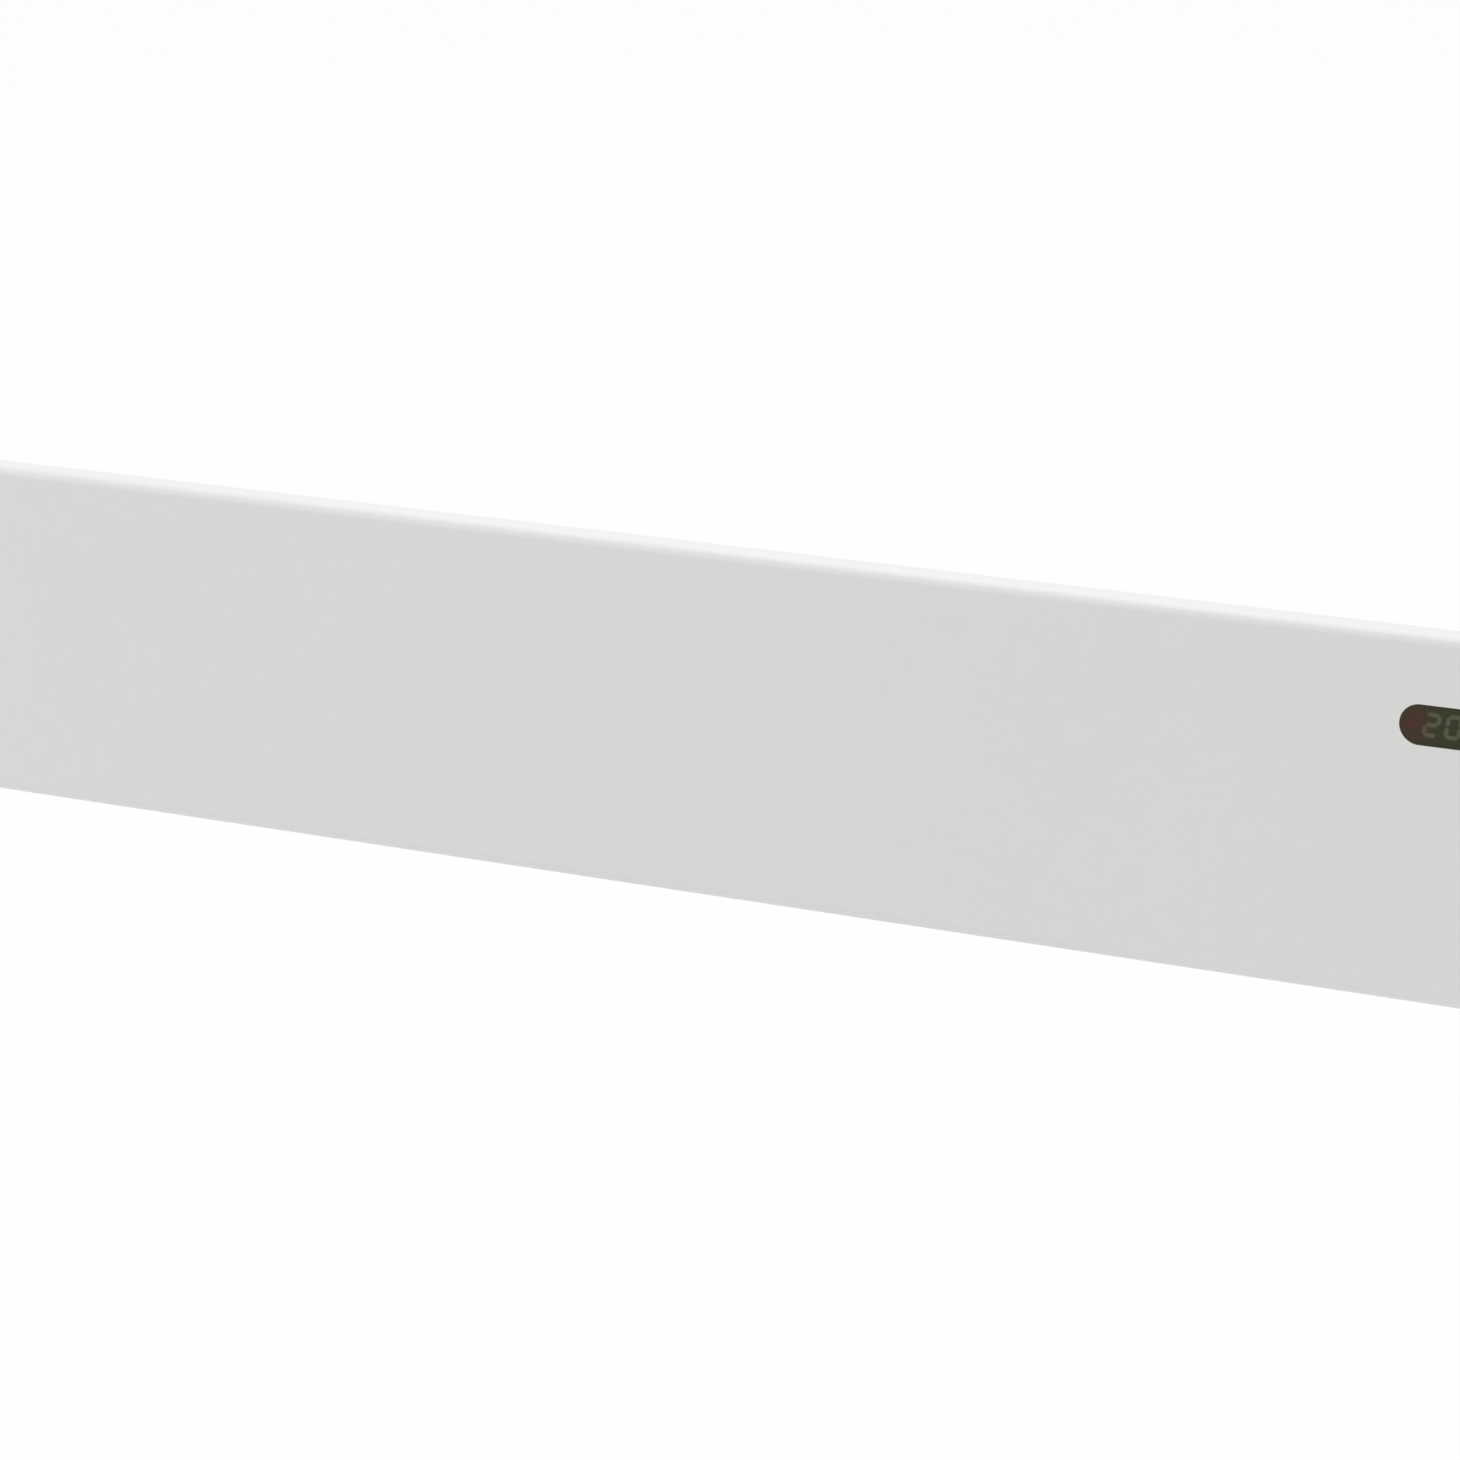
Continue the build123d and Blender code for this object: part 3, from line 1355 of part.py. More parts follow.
# The rivets' holes through the back of the casing are drilled last.
with BuildPart() as drilled_casing:
    add(rear_casing.part)
    with BuildSketch(Plane.XZ.offset(wall_gap)):
        with Locations(*rivet_places):
            Circle(rivet_radius + screw_gap)
    extrude(amount=casing_sheet, mode=Mode.SUBTRACT)
save(drilled_casing.part, "rear_casing")

panel_screw_length = casing_sheet + shield_sheet + panel_sheet + screw_run_out
panel_screw_seats = [
    Plane(origin=(x, -lip_back, s * lip_screw_row), z_dir=(0, 1, 0)) for x in lip_screw_places for s in sides
]
save(group_of(screw(panel_screw_length), panel_screw_seats), "panel_screws")

grille_screw_seats = [
    Plane(origin=(x, -grille_screw_depth, casing_top + casing_sheet), z_dir=(0, 0, 1))
    for x in lip_screw_places
]
save(group_of(screw(2 * casing_sheet + screw_run_out), grille_screw_seats), "grille_screws")

cap_screw_seats = [
    Plane(origin=(s * cap_outside, -(casing_inside + ear_reach / 2), height), z_dir=(s, 0, 0))
    for s in sides
    for height in ear_heights
]
save(group_of(screw(cap_wall + casing_sheet + screw_run_out), cap_screw_seats), "end_cap_screws")

# ---------------------------------------------------------------- leads
# Every lead ends face to face with what it feeds: a clamp, a tab or a stud.
# Its turns lie at a share of the way between its two ends.
block_low_seat = block_bottom + block_entry_depth
block_high_seat = block_top - block_entry_depth
switch_entry = body_inner_end - switch_blade_length
tab_end = cutout_body_end + cutout_tab_length
rod_stud_end = rod_end + terminal_length
earth_lead_depth = earth_washer_top + lead_radius
lead_clearance = 9.0


def between(start, end, share):
    return start + (end - start) * share


def into_port(i, start_height, share):
    """The last run of a lead: from a turn straight up through port i to the board's clamp."""
    return [
        (lead_ports[i], -lead_port_depth, between(start_height, connector_bottom, share)),
        (lead_ports[i], -lead_port_depth, connector_bottom),
    ]


cutout_points = [
    (tab_end, -(element_depth + cutout_tab_offset), cutout_height),
    (tab_end + lead_clearance, -(element_depth + cutout_tab_offset), cutout_height),
] + into_port(0, cutout_height, 0.4)
save(lead(cutout_points, lead_radius, lead_bend), "lead_board_to_cutout")

heater_points = [
    (tab_end, -(element_depth - cutout_tab_offset), cutout_height),
    (rod_stud_end + lead_clearance, -(element_depth - cutout_tab_offset), cutout_height),
    (rod_stud_end + lead_clearance, -element_depth, rod_upper),
    (rod_stud_end, -element_depth, rod_upper),
]
save(lead(heater_points, lead_radius, lead_bend), "lead_cutout_to_rod")

return_points = [
    (rod_stud_end, -element_depth, rod_lower),
    (lead_ports[2] - lead_clearance, -element_depth, rod_lower),
] + into_port(2, rod_lower, 0.5)
save(lead(return_points, lead_radius, lead_bend), "lead_rod_to_board")

sensor_top = sensor_tip + sensor_length
sensor_points = [
    (sensor_x, -sensor_depth, sensor_top),
    (sensor_x, -sensor_depth, between(sensor_top, connector_bottom, 0.15)),
] + into_port(1, sensor_top, 0.37)
save(lead(sensor_points, sensor_lead_radius, lead_bend), "lead_sensor")

neutral_points = [
    (terminal_block_x, -block_depth, block_high_seat),
    (terminal_block_x, -block_depth, between(block_high_seat, connector_bottom, 0.4)),
] + into_port(3, block_high_seat, 0.7)
save(lead(neutral_points, lead_radius, lead_bend), "lead_neutral")

live_turn = between(block_high_seat, connector_bottom, 0.34)
live_points = [
    (terminal_block_x + block_pitch, -block_depth, block_high_seat),
    (terminal_block_x + block_pitch, -block_depth, live_turn),
    (switch_entry - lead_clearance, -rocker_depth, live_turn),
    (switch_entry - lead_clearance, -rocker_depth, rocker_height + switch_blade_offset),
    (switch_entry, -rocker_depth, rocker_height + switch_blade_offset),
]
save(lead(live_points, lead_radius, lead_bend - lead_radius / 2), "lead_live_to_switch")

switched_points = [
    (switch_entry, -rocker_depth, rocker_height - switch_blade_offset),
    (switch_entry - 2 * lead_clearance, -rocker_depth, rocker_height - switch_blade_offset),
] + into_port(4, rocker_height, 0.47)
save(lead(switched_points, lead_radius, lead_bend), "lead_switch_to_board")

earth_points = [
    (terminal_block_x - block_pitch, -block_depth, block_low_seat),
    (terminal_block_x - block_pitch, -block_depth, between(block_low_seat, earth_height, 0.48)),
    (earth_x + 2 * lead_clearance, -earth_lead_depth, earth_height),
    (earth_x + earth_stud_radius + screw_gap, -earth_lead_depth, earth_height),
]
save(lead(earth_points, lead_radius, lead_bend), "lead_earth")
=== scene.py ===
# %% [markdown]
# # A long, low wall heater
# The heater is a painted steel tray held in front of a flat sheet-steel box, with a warm-air
# grille on top and a dark window for its display near the right end. Its solids were drawn
# beforehand and come in as a fixed frame, in metres. That could be skipped and the heater drawn
# freely, but then no piece would be sure to fit or to move with the right body.

# %% Load the solids
import json
import math

import bmesh
import bpy
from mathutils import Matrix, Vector


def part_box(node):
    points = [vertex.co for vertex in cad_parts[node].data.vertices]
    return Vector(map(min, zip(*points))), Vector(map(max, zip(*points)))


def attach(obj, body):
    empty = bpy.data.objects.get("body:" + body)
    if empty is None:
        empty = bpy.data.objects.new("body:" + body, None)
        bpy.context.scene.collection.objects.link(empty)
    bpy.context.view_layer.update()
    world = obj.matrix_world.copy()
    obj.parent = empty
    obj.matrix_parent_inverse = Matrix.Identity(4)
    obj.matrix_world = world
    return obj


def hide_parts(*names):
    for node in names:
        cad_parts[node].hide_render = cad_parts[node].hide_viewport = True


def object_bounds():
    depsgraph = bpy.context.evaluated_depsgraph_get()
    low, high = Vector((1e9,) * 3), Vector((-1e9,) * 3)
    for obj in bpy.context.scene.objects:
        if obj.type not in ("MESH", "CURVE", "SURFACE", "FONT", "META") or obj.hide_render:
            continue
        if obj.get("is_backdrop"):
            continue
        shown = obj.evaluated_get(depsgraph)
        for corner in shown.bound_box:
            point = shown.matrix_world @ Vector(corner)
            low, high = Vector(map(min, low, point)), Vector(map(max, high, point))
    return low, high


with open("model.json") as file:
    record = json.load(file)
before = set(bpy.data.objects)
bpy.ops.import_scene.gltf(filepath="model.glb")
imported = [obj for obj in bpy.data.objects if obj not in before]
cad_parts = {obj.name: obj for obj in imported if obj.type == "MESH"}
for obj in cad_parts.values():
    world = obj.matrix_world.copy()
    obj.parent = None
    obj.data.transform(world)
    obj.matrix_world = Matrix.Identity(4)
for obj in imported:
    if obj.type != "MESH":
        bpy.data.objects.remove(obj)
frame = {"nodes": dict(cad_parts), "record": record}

solid_low, solid_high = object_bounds()
mm = 0.001
print("solids:", len(frame["nodes"]), "nodes,", [round(c, 4) for c in solid_high - solid_low], "m")


# %% [markdown]
# ## Shader sums
# A finish is a small network of nodes. Wiring each Math node by hand makes the idea hard to
# read, so one class wraps a socket and turns plain sums into Math nodes. A second class adds
# any other node: its settings first, because they decide which sockets it has, then its values.

# %% Sockets as values
class Value:
    """The output of a node, on which ordinary sums add Math nodes to the same network."""

    def __init__(self, network, socket):
        self.network = network
        self.socket = socket

    def sum_of(self, operation, first, second=0.0):
        return self.network.add("Math", {"operation": operation}, {0: first, 1: second})

    def __add__(self, other):
        return self.sum_of("ADD", self, other)

    def __radd__(self, other):
        return self.sum_of("ADD", other, self)

    def __sub__(self, other):
        return self.sum_of("SUBTRACT", self, other)

    def __rsub__(self, other):
        return self.sum_of("SUBTRACT", other, self)

    def __mul__(self, other):
        return self.sum_of("MULTIPLY", self, other)

    def __rmul__(self, other):
        return self.sum_of("MULTIPLY", other, self)

    def __abs__(self):
        return self.sum_of("ABSOLUTE", self)


def paint(red, green, blue):
    """A colour as a paint chart or a picture gives it, 0 to 255, made linear for the shader."""
    parts = [c / 255 for c in (red, green, blue)]
    linear = [c / 12.92 if c <= 0.04045 else ((c + 0.055) / 1.055) ** 2.4 for c in parts]
    return (*linear, 1.0)


print("mid grey, made linear:", [round(c, 3) for c in paint(128, 128, 128)])


# %% Adding nodes
class Network:
    """The nodes of one material or of the world."""

    def __init__(self, tree):
        self.tree = tree

    def fill(self, socket, value):
        if isinstance(value, Value):
            self.tree.links.new(value.socket, socket)
        else:
            socket.default_value = value

    def add(self, kind, settings=None, sockets=None, output=0):
        """Adds a node: its settings first, then the values or links of its sockets."""
        node = self.tree.nodes.new("ShaderNode" + kind)
        for name, value in (settings or {}).items():
            setattr(node, name, value)
        for name, value in (sockets or {}).items():
            self.fill(node.inputs[name], value)
        return Value(self, node.outputs[output])

    def spread(self, value, low, high, to_low, to_high):
        """A value stretched from one range to another and held there."""
        return self.add("MapRange", {"clamp": True}, {
            "Value": value, "From Min": low, "From Max": high, "To Min": to_low, "To Max": to_high,
        })

    def sway(self, clouds, to_low, to_high):
        """Cloudy noise, which seldom leaves 0.3 to 0.7, stretched to a range of its own."""
        return self.spread(clouds, 0.3, 0.7, to_low, to_high)

    def blend(self, factor, first, second):
        """One colour turning into another as factor goes from 0 to 1."""
        return self.add("Mix", {"data_type": "RGBA"}, {0: factor, 6: first, 7: second}, output=2)


# %% A finish under construction
class Finish(Network):
    """A material whose colour, roughness and bump are worked out by nodes in real metres."""

    def __init__(self, name, colour, roughness, metallic=0.0):
        self.material = bpy.data.materials.new(name)
        self.material.use_nodes = True
        self.material.diffuse_color = colour
        super().__init__(self.material.node_tree)
        self.shader = self.tree.nodes["Principled BSDF"]
        self.put("Base Color", colour)
        self.put("Roughness", roughness)
        self.put("Metallic", metallic)
        self.place = self.add("TexCoord", output="Object")

    def put(self, name, value):
        self.fill(self.shader.inputs[name], value)

    def along(self, axis):
        """How far a point lies along X, Y or Z, in metres."""
        return self.add("SeparateXYZ", {}, {0: self.place}, output=axis)

    def grain(self, size, detail=2.0, stretch=(1, 1, 1)):
        """Cloudy noise from 0 to 1 whose blobs are about size metres across."""
        place = self.add("VectorMath", {"operation": "MULTIPLY"}, {0: self.place, 1: stretch})
        sockets = {"Vector": place, "Scale": 0.5 / size, "Detail": detail, "Roughness": 0.5}
        return self.add("TexNoise", {"noise_dimensions": "3D"}, sockets)

    def scratches(self, size, amount, stretch):
        """Thin broken lines: 1 on a line, 0 beside it. Stretch is below 1 along the lines."""
        lines = self.grain(size, detail=1, stretch=stretch)
        return self.spread(abs(lines - 0.5), 0.0, amount, 1.0, 0.0)

    def spot(self, x, z, reach):
        """1 at a place on the heater's front, falling softly to 0 at reach metres from it."""
        across = (self.along("X") - x) * (1 / reach)
        up = (self.along("Z") - z) * (1 / reach)
        near_it = self.spread(across * across + up * up, 0.0, 1.0, 1.0, 0.0)
        return near_it * near_it

    def relief(self, height, depth):
        """Bumps of depth metres where height goes from 0 to 1."""
        sockets = {"Height": height, "Distance": depth, "Strength": 1.0}
        self.put("Normal", self.add("Bump", {}, sockets))


print("shader helpers ready")


# %% [markdown]
# ## Modelling by hand, in code
# Every new piece starts from a primitive and is shaped in edit mode with the same operators
# that the menus call. What differs from working by hand is the picking: faces and edges are
# chosen by their place or the way they face, so a few helpers do only that.

# %% Starting a piece
upright = (0, 0, 0)
front_to_back = (math.pi / 2, 0, 0)
side_to_side = (0, math.pi / 2, 0)


def only(piece):
    """Selects one object and nothing else."""
    if bpy.context.mode != "OBJECT":
        bpy.ops.object.mode_set(mode="OBJECT")
    bpy.ops.object.select_all(action="DESELECT")
    piece.select_set(True)
    bpy.context.view_layer.objects.active = piece


def newest(name):
    """Names the object that the last operator left active, and its mesh."""
    piece = bpy.context.object
    piece.name = name
    piece.data.name = name
    return piece


def settle():
    """Moves the selected object's place, turn and size into its mesh."""
    bpy.ops.object.transform_apply(location=True, rotation=True, scale=True)


def block(name, low, high):
    """A box between two corners, as a first shape to work on."""
    bpy.ops.object.select_all(action="DESELECT")
    size = [b - a for a, b in zip(low, high)]
    middle = [(a + b) / 2 for a, b in zip(low, high)]
    bpy.ops.mesh.primitive_cube_add(size=1, location=middle, scale=size)
    piece = newest(name)
    settle()
    return piece


def disc(name, place, radius, depth, steps=48, turn=front_to_back):
    """A short round bar, with its axis as turn says."""
    bpy.ops.object.select_all(action="DESELECT")
    bpy.ops.mesh.primitive_cylinder_add(
        vertices=steps, radius=radius, depth=depth, location=place, rotation=turn
    )
    piece = newest(name)
    settle()
    return piece


def copy_of(piece, name, move):
    """The same shape once more, moved, with a mesh of its own."""
    only(piece)
    bpy.ops.object.duplicate()
    twin = newest(name)
    twin.location = move
    settle()
    return twin


def joined(name, pieces):
    only(pieces[0])
    for piece in pieces:
        piece.select_set(True)
    bpy.ops.object.join()
    return newest(name)


print("ways to start a piece: block, disc, copy")


# %% Picking by place and direction
def near(a, b, reach=0.01 * mm):
    return abs(a - b) < reach


def runs_along(edge, axis):
    """True for an edge parallel to X, Y or Z, numbered 0, 1 and 2."""
    way = edge.verts[1].co - edge.verts[0].co
    return way.length > 0 and near(abs(way[axis]) / way.length, 1.0)


def lies_at(edge, axis, place):
    return all(near(corner.co[axis], place) for corner in edge.verts)


def faces_at(axis, place):
    """For pick: faces square to an axis, at a place along it."""
    def wanted(face):
        square = near(abs(face.normal[axis]), 1.0, 1e-3)
        return square and near(face.calc_center_median()[axis], place)
    return wanted


def edit(piece):
    only(piece)
    bpy.ops.object.mode_set(mode="EDIT")


def pick(piece, kind, wanted):
    """In edit mode, selects the faces or edges for which wanted says yes."""
    bpy.ops.mesh.select_mode(type={"faces": "FACE", "edges": "EDGE"}[kind])
    bpy.ops.mesh.select_all(action="DESELECT")
    mesh = bmesh.from_edit_mesh(piece.data)
    mesh.normal_update()
    chosen = [part for part in getattr(mesh, kind) if wanted(part)]
    for part in chosen:
        part.select_set(True)
    bmesh.update_edit_mesh(piece.data)


print("ways to pick: by axis, by place, by facing")


# %% Shaping what is picked
def round_edges(piece, wanted, radius, segments):
    edit(piece)
    pick(piece, "edges", wanted)
    bpy.ops.mesh.bevel(offset=radius, segments=segments, profile=0.5, affect="EDGES")
    bpy.ops.object.mode_set(mode="OBJECT")


def draw_out(piece, kind, wanted, way):
    """Extrudes the faces or edges for which wanted says yes, and moves them by way."""
    edit(piece)
    pick(piece, kind, wanted)
    bpy.ops.mesh.extrude_region_move(TRANSFORM_OT_translate={"value": way})
    bpy.ops.object.mode_set(mode="OBJECT")


def inset(piece, wanted, width, depth=0.0):
    edit(piece)
    pick(piece, "faces", wanted)
    bpy.ops.mesh.inset(thickness=width, depth=depth)
    bpy.ops.object.mode_set(mode="OBJECT")


def apply_modifier(piece, kind, **settings):
    """Adds a modifier, sets it up, and makes its result the piece's own mesh."""
    only(piece)
    modifier = piece.modifiers.new(kind.lower(), kind)
    for name, value in settings.items():
        setattr(modifier, name, value)
    bpy.ops.object.modifier_apply(modifier=modifier.name)


def cut(piece, cutter):
    """Takes the cutter's volume away from the piece, then throws the cutter away."""
    apply_modifier(piece, "BOOLEAN", operation="DIFFERENCE", solver="MANIFOLD", object=cutter)
    bpy.data.meshes.remove(cutter.data)


crease = math.radians(35)


def smooth(piece):
    """Smooth shading that keeps flat faces flat and edges sharper than the crease crisp."""
    only(piece)
    bpy.ops.object.shade_smooth_by_angle(angle=crease)
    apply_modifier(piece, "WEIGHTED_NORMAL", keep_sharp=True)


dressed = []


def fit(piece, body, slot, *nodes):
    """Says which body carries a new piece, which finish it takes and which solids it stands for."""
    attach(piece, body)
    if nodes:
        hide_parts(*nodes)
    dressed.append((piece, slot))
    print(piece.name, len(piece.data.polygons), "faces")


print("modelling helpers ready")


# %% [markdown]
# ## Front panel
# On the real heater this is one sheet of steel: a shallow tray with a soft, even bend all
# round, rounded corners and a pill-shaped window. The solid that came in is right but
# coarse at its bends, and the bend is what catches the light. A plane could be folded up edge
# by edge; here a block is rounded, then hollowed by a second rounded block, because that gives
# the wall the same thickness everywhere, bends included.

# %% Outer and inner shape of the tray
panel_low, panel_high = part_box("front_panel")
sheet = 1.2 * mm
bend_radius = 7 * mm
corner_radius = 8 * mm
bend_steps = 10


def rounded_tray(name, low, high, corner, bend):
    """A block with its four corners rounded, and the edge round its front face too."""
    tray = block(name, low, high)
    round_edges(tray, lambda edge: runs_along(edge, 1), corner, bend_steps)
    round_edges(tray, lambda edge: lies_at(edge, 1, low[1]), bend, bend_steps)
    return tray


front_panel = rounded_tray("front_panel_shell", panel_low, panel_high, corner_radius, bend_radius)
inner_low = panel_low + Vector((sheet, sheet, sheet))
inner_high = panel_high - Vector((sheet, sheet, sheet))
hollow = rounded_tray("hollow", inner_low, inner_high, corner_radius - sheet, bend_radius - sheet)
cut(front_panel, hollow)
print("tray:", len(front_panel.data.polygons), "faces")

# %% Opening behind
lip = 14 * mm
end_lip = 26 * mm
behind_low = (panel_low.x + end_lip, panel_high.y - 3 * sheet, panel_low.z + lip)
behind_high = (panel_high.x - end_lip, panel_high.y + sheet, panel_high.z - lip)
cut(front_panel, block("behind", behind_low, behind_high))
print("tray, open behind:", len(front_panel.data.polygons), "faces")

# %% Window
lens_low, lens_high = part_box("display_lens")
window_centre = (lens_low + lens_high) / 2
window_length = 92 * mm
window_height = 24 * mm
window_front = panel_low.y - sheet
window_back = panel_low.y + 3 * sheet
short_of_half = 0.9999    # ends rounded by a full half would leave doubled points


def pill(name, centre, length, height, front, back, steps=24):
    """A flat pill standing on the panel: a block whose two ends are rounded off."""
    low = (centre.x - length / 2, front, centre.z - height / 2)
    high = (centre.x + length / 2, back, centre.z + height / 2)
    piece = block(name, low, high)
    round_edges(piece, lambda edge: runs_along(edge, 1), height / 2 * short_of_half, steps)
    return piece


window = pill("window", window_centre, window_length, window_height, window_front, window_back)
cut(front_panel, window)
smooth(front_panel)
fit(front_panel, "heater", "front_paint", "front_panel")


# %% [markdown]
# ## Folded sheets: casing and grille
# Behind the panel hangs a flat steel box: one long sheet folded into a back, a floor and a lip,
# with a slotted angle screwed on top. Both could be cut from blocks. They are folded here as a
# press brake does it: a strip is drawn out fold by fold along its side view, the folds are
# rounded, and the strip gets its thickness last, so the wall is even in the bends too.

# %% A folded strip
casing_low, casing_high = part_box("rear_casing")
grille_low, grille_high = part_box("top_grille")
casing_sheet = 1.0 * mm
fold_radius = 1.8 * mm
fold_steps = 6


def fold_at(y, z):
    """For pick: the edges that run from end to end at one place of the side view."""
    return lambda edge: lies_at(edge, 1, y) and lies_at(edge, 2, z)


def folded_strip(name, line, low_x, high_x, side):
    """A sheet folded along (y, z) points; side +1 or -1 says on which side it thickens."""
    (start_y, start_z), (next_y, _) = line[:2]
    middle = ((low_x + high_x) / 2, (start_y + next_y) / 2, start_z)
    bpy.ops.object.select_all(action="DESELECT")
    bpy.ops.mesh.primitive_plane_add(size=1, location=middle)
    strip = newest(name)
    strip.scale = (high_x - low_x, abs(next_y - start_y), 1)
    settle()
    for (y, z), (far_y, far_z) in zip(line[1:], line[2:]):
        draw_out(strip, "edges", fold_at(y, z), (0, far_y - y, far_z - z))
    for y, z in line[1:-1]:
        round_edges(strip, fold_at(y, z), fold_radius, fold_steps)
    apply_modifier(strip, "SOLIDIFY", thickness=casing_sheet, offset=side, use_even_offset=True)
    return strip


# %% Casing and grille, folded
back_y = casing_high.y
lip_y = casing_low.y + casing_sheet
top_flange = 14 * mm
casing_floor = -92 * mm
casing_line = [
    (back_y - top_flange, casing_high.z),
    (back_y, casing_high.z),
    (back_y, casing_floor),
    (lip_y, casing_floor),
    (lip_y, casing_low.z),
]
casing = folded_strip("rear_casing_shell", casing_line, casing_low.x, casing_high.x, -1)
grille_line = [
    (grille_high.y, grille_low.z),
    (grille_low.y, grille_low.z),
    (grille_low.y, grille_high.z),
]
grille = folded_strip("top_grille_shell", grille_line, grille_low.x, grille_high.x, 1)
print("folded:", len(casing.data.polygons), "and", len(grille.data.polygons), "faces")

# %% Slots for the hooks and the locks
hook_x = 230 * mm
hook_slot_half = 20 * mm
hook_slot_bottom = 60 * mm
hook_slot_top = 73.5 * mm
lock_slot_z = -75 * mm
lock_slot_length = 18.4 * mm
lock_slot_height = 7.4 * mm
past = 3 * casing_sheet    # a cutter reaches this far beyond the sheet, on both sides
for side in (-1, 1):
    low = (side * hook_x - hook_slot_half, back_y - past, hook_slot_bottom)
    high = (side * hook_x + hook_slot_half, back_y + past, hook_slot_top)
    cut(casing, block("hook_slot", low, high))
    middle = Vector((side * hook_x, 0, lock_slot_z))
    front, behind = back_y - past, back_y + past
    size = (lock_slot_length, lock_slot_height)
    cut(casing, pill("lock_slot", middle, *size, front, behind, steps=10))
print("slots in the back: 2 for hooks, 2 for locks")

# %% Holes in the floor
gland_hole = (540 * mm, -45 * mm, 8.05 * mm)     # x, y and radius
sensor_hole = (470 * mm, -52 * mm, 4.05 * mm)    # the same
punch_depth = 8 * mm
for x, y, radius in (gland_hole, sensor_hole):
    cut(casing, disc("floor_hole", (x, y, casing_floor), radius, punch_depth, turn=upright))
print("holes in the floor: 1 for the cable, 1 for the sensor")

# %% Rivet holes
# The rivets end flush with the back. Their rims are read from the solids, and each gets a hole.
rivet_spacing = 6 * mm    # points closer together than this are on the same rivet
rivet_slack = 0.05 * mm
rims = []
for corner in frame["nodes"]["bracket_rivets"].data.vertices:
    if near(corner.co.y, back_y):
        for rim in rims:
            if (rim[0] - corner.co).length < rivet_spacing:
                rim.append(corner.co.copy())
                break
        else:
            rims.append([corner.co.copy()])
for rim in rims:
    rim_low = Vector([min(point[axis] for point in rim) for axis in range(3)])
    rim_high = Vector([max(point[axis] for point in rim) for axis in range(3)])
    radius = (rim_high.x - rim_low.x) / 2 + rivet_slack
    cut(casing, disc("rivet_hole", (rim_low + rim_high) / 2, radius, 2 * past, steps=24))
print("rivets through the back:", len(rims))

# %% Air slots
slot_width = 4 * mm
slot_length = 30 * mm
slot_pitch = 9 * mm
slot_count = 104
slot_first = -514 * mm
slot_depth = 49 * mm
slot_end = slot_width / 2 * 0.999
slot_end_steps = 7


def slot_row(name, height):
    """A row of upright pills, long from back to front, that punches the air slots."""
    low = (slot_first - slot_width / 2, -slot_depth - slot_length / 2, height - past)
    high = (slot_first + slot_width / 2, -slot_depth + slot_length / 2, height + past)
    pin = block(name, low, high)
    round_edges(pin, lambda edge: runs_along(edge, 2), slot_end, slot_end_steps)
    apply_modifier(
        pin, "ARRAY", count=slot_count, use_relative_offset=False,
        use_constant_offset=True, constant_offset_displace=(slot_pitch, 0, 0),
    )
    return pin


cut(grille, slot_row("upper_slots", grille_low.z))
cut(casing, slot_row("lower_slots", casing_floor))
print("slots:", slot_count, "in each")

# %% Ears for the end caps
ear_heights = (-52 * mm, 48 * mm)
ear_depth = 13 * mm
ear_half = 8 * mm
ear_corner = 3 * mm
ear_hole_y = -27.5 * mm
ear_hole_radius = 1.6 * mm
ear_front = back_y - ear_depth


def front_corner(edge):
    """For pick: an ear's two corners that are away from the back."""
    return runs_along(edge, 0) and lies_at(edge, 1, ear_front)


ears = []
for side in (-1, 1):
    inner, outer = side * (casing_high.x - casing_sheet), side * casing_high.x
    for height in ear_heights:
        low = (min(inner, outer), ear_front, height - ear_half)
        high = (max(inner, outer), back_y - casing_sheet / 2, height + ear_half)
        ear = block("ear", low, high)
        round_edges(ear, front_corner, ear_corner, segments=5)
        place = (inner, ear_hole_y, height)
        cut(ear, disc("ear_hole", place, ear_hole_radius, punch_depth, steps=24, turn=side_to_side))
        ears.append(ear)
casing = joined("rear_casing_shell", [casing] + ears)
for folded in (casing, grille):
    edit(folded)
    bpy.ops.mesh.select_all(action="SELECT")
    bpy.ops.mesh.normals_make_consistent(inside=False)
    bpy.ops.object.mode_set(mode="OBJECT")
    smooth(folded)
fit(casing, "heater", "casing_paint", "rear_casing")
fit(grille, "heater", "casing_paint", "top_grille")


# %% [markdown]
# ## Display bars
# The display shows two digits made of straight bars with pointed ends, leaning a little to the
# right. A text object would be quicker, but no font has these bars. One bar is modelled in two
# lengths, and copies of them make the two and the nought.

# %% The two bars
digits_low, digits_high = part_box("digit_segments")
digits_centre = Vector((
    (digits_low.x + digits_high.x) / 2,
    (digits_low.y + digits_high.y) / 2,
    window_centre.z,
))
bar_width = 2.5 * mm
bar_edge = 0.08 * mm
blunt = 0.98    # how much of the half width goes into the point at a bar's end


def light_bar(name, length):
    """A flat bar along X at the origin, its two ends pointed, its front edge softened."""
    half = Vector((length / 2, (digits_high.y - digits_low.y) / 2, bar_width / 2))
    bar = block(name, -half, half)
    round_edges(bar, lambda edge: runs_along(edge, 1), bar_width / 2 * blunt, segments=1)
    round_edges(bar, lambda edge: lies_at(edge, 1, -half.y), bar_edge, segments=2)
    return bar


flat_length = 7.0 * mm
tall_length = 5.9 * mm
flat_bar = light_bar("flat_bar", flat_length)
tall_bar = light_bar("tall_bar", tall_length)
print("a bar:", len(flat_bar.data.polygons), "faces")

# %% Eleven bars in their places
bar_lean = math.radians(8)
digit_rise = 6.1 * mm
digit_run = 3.7 * mm
digit_pitch = 12.7 * mm
digit_bars = {    # how far across and how far up each bar stands, in runs and rises
    "two": [(0, 1), (0, 0), (0, -1), (1, 0.5), (-1, -0.5)],
    "nought": [(0, 1), (0, -1), (1, 0.5), (1, -0.5), (-1, 0.5), (-1, -0.5)],
}


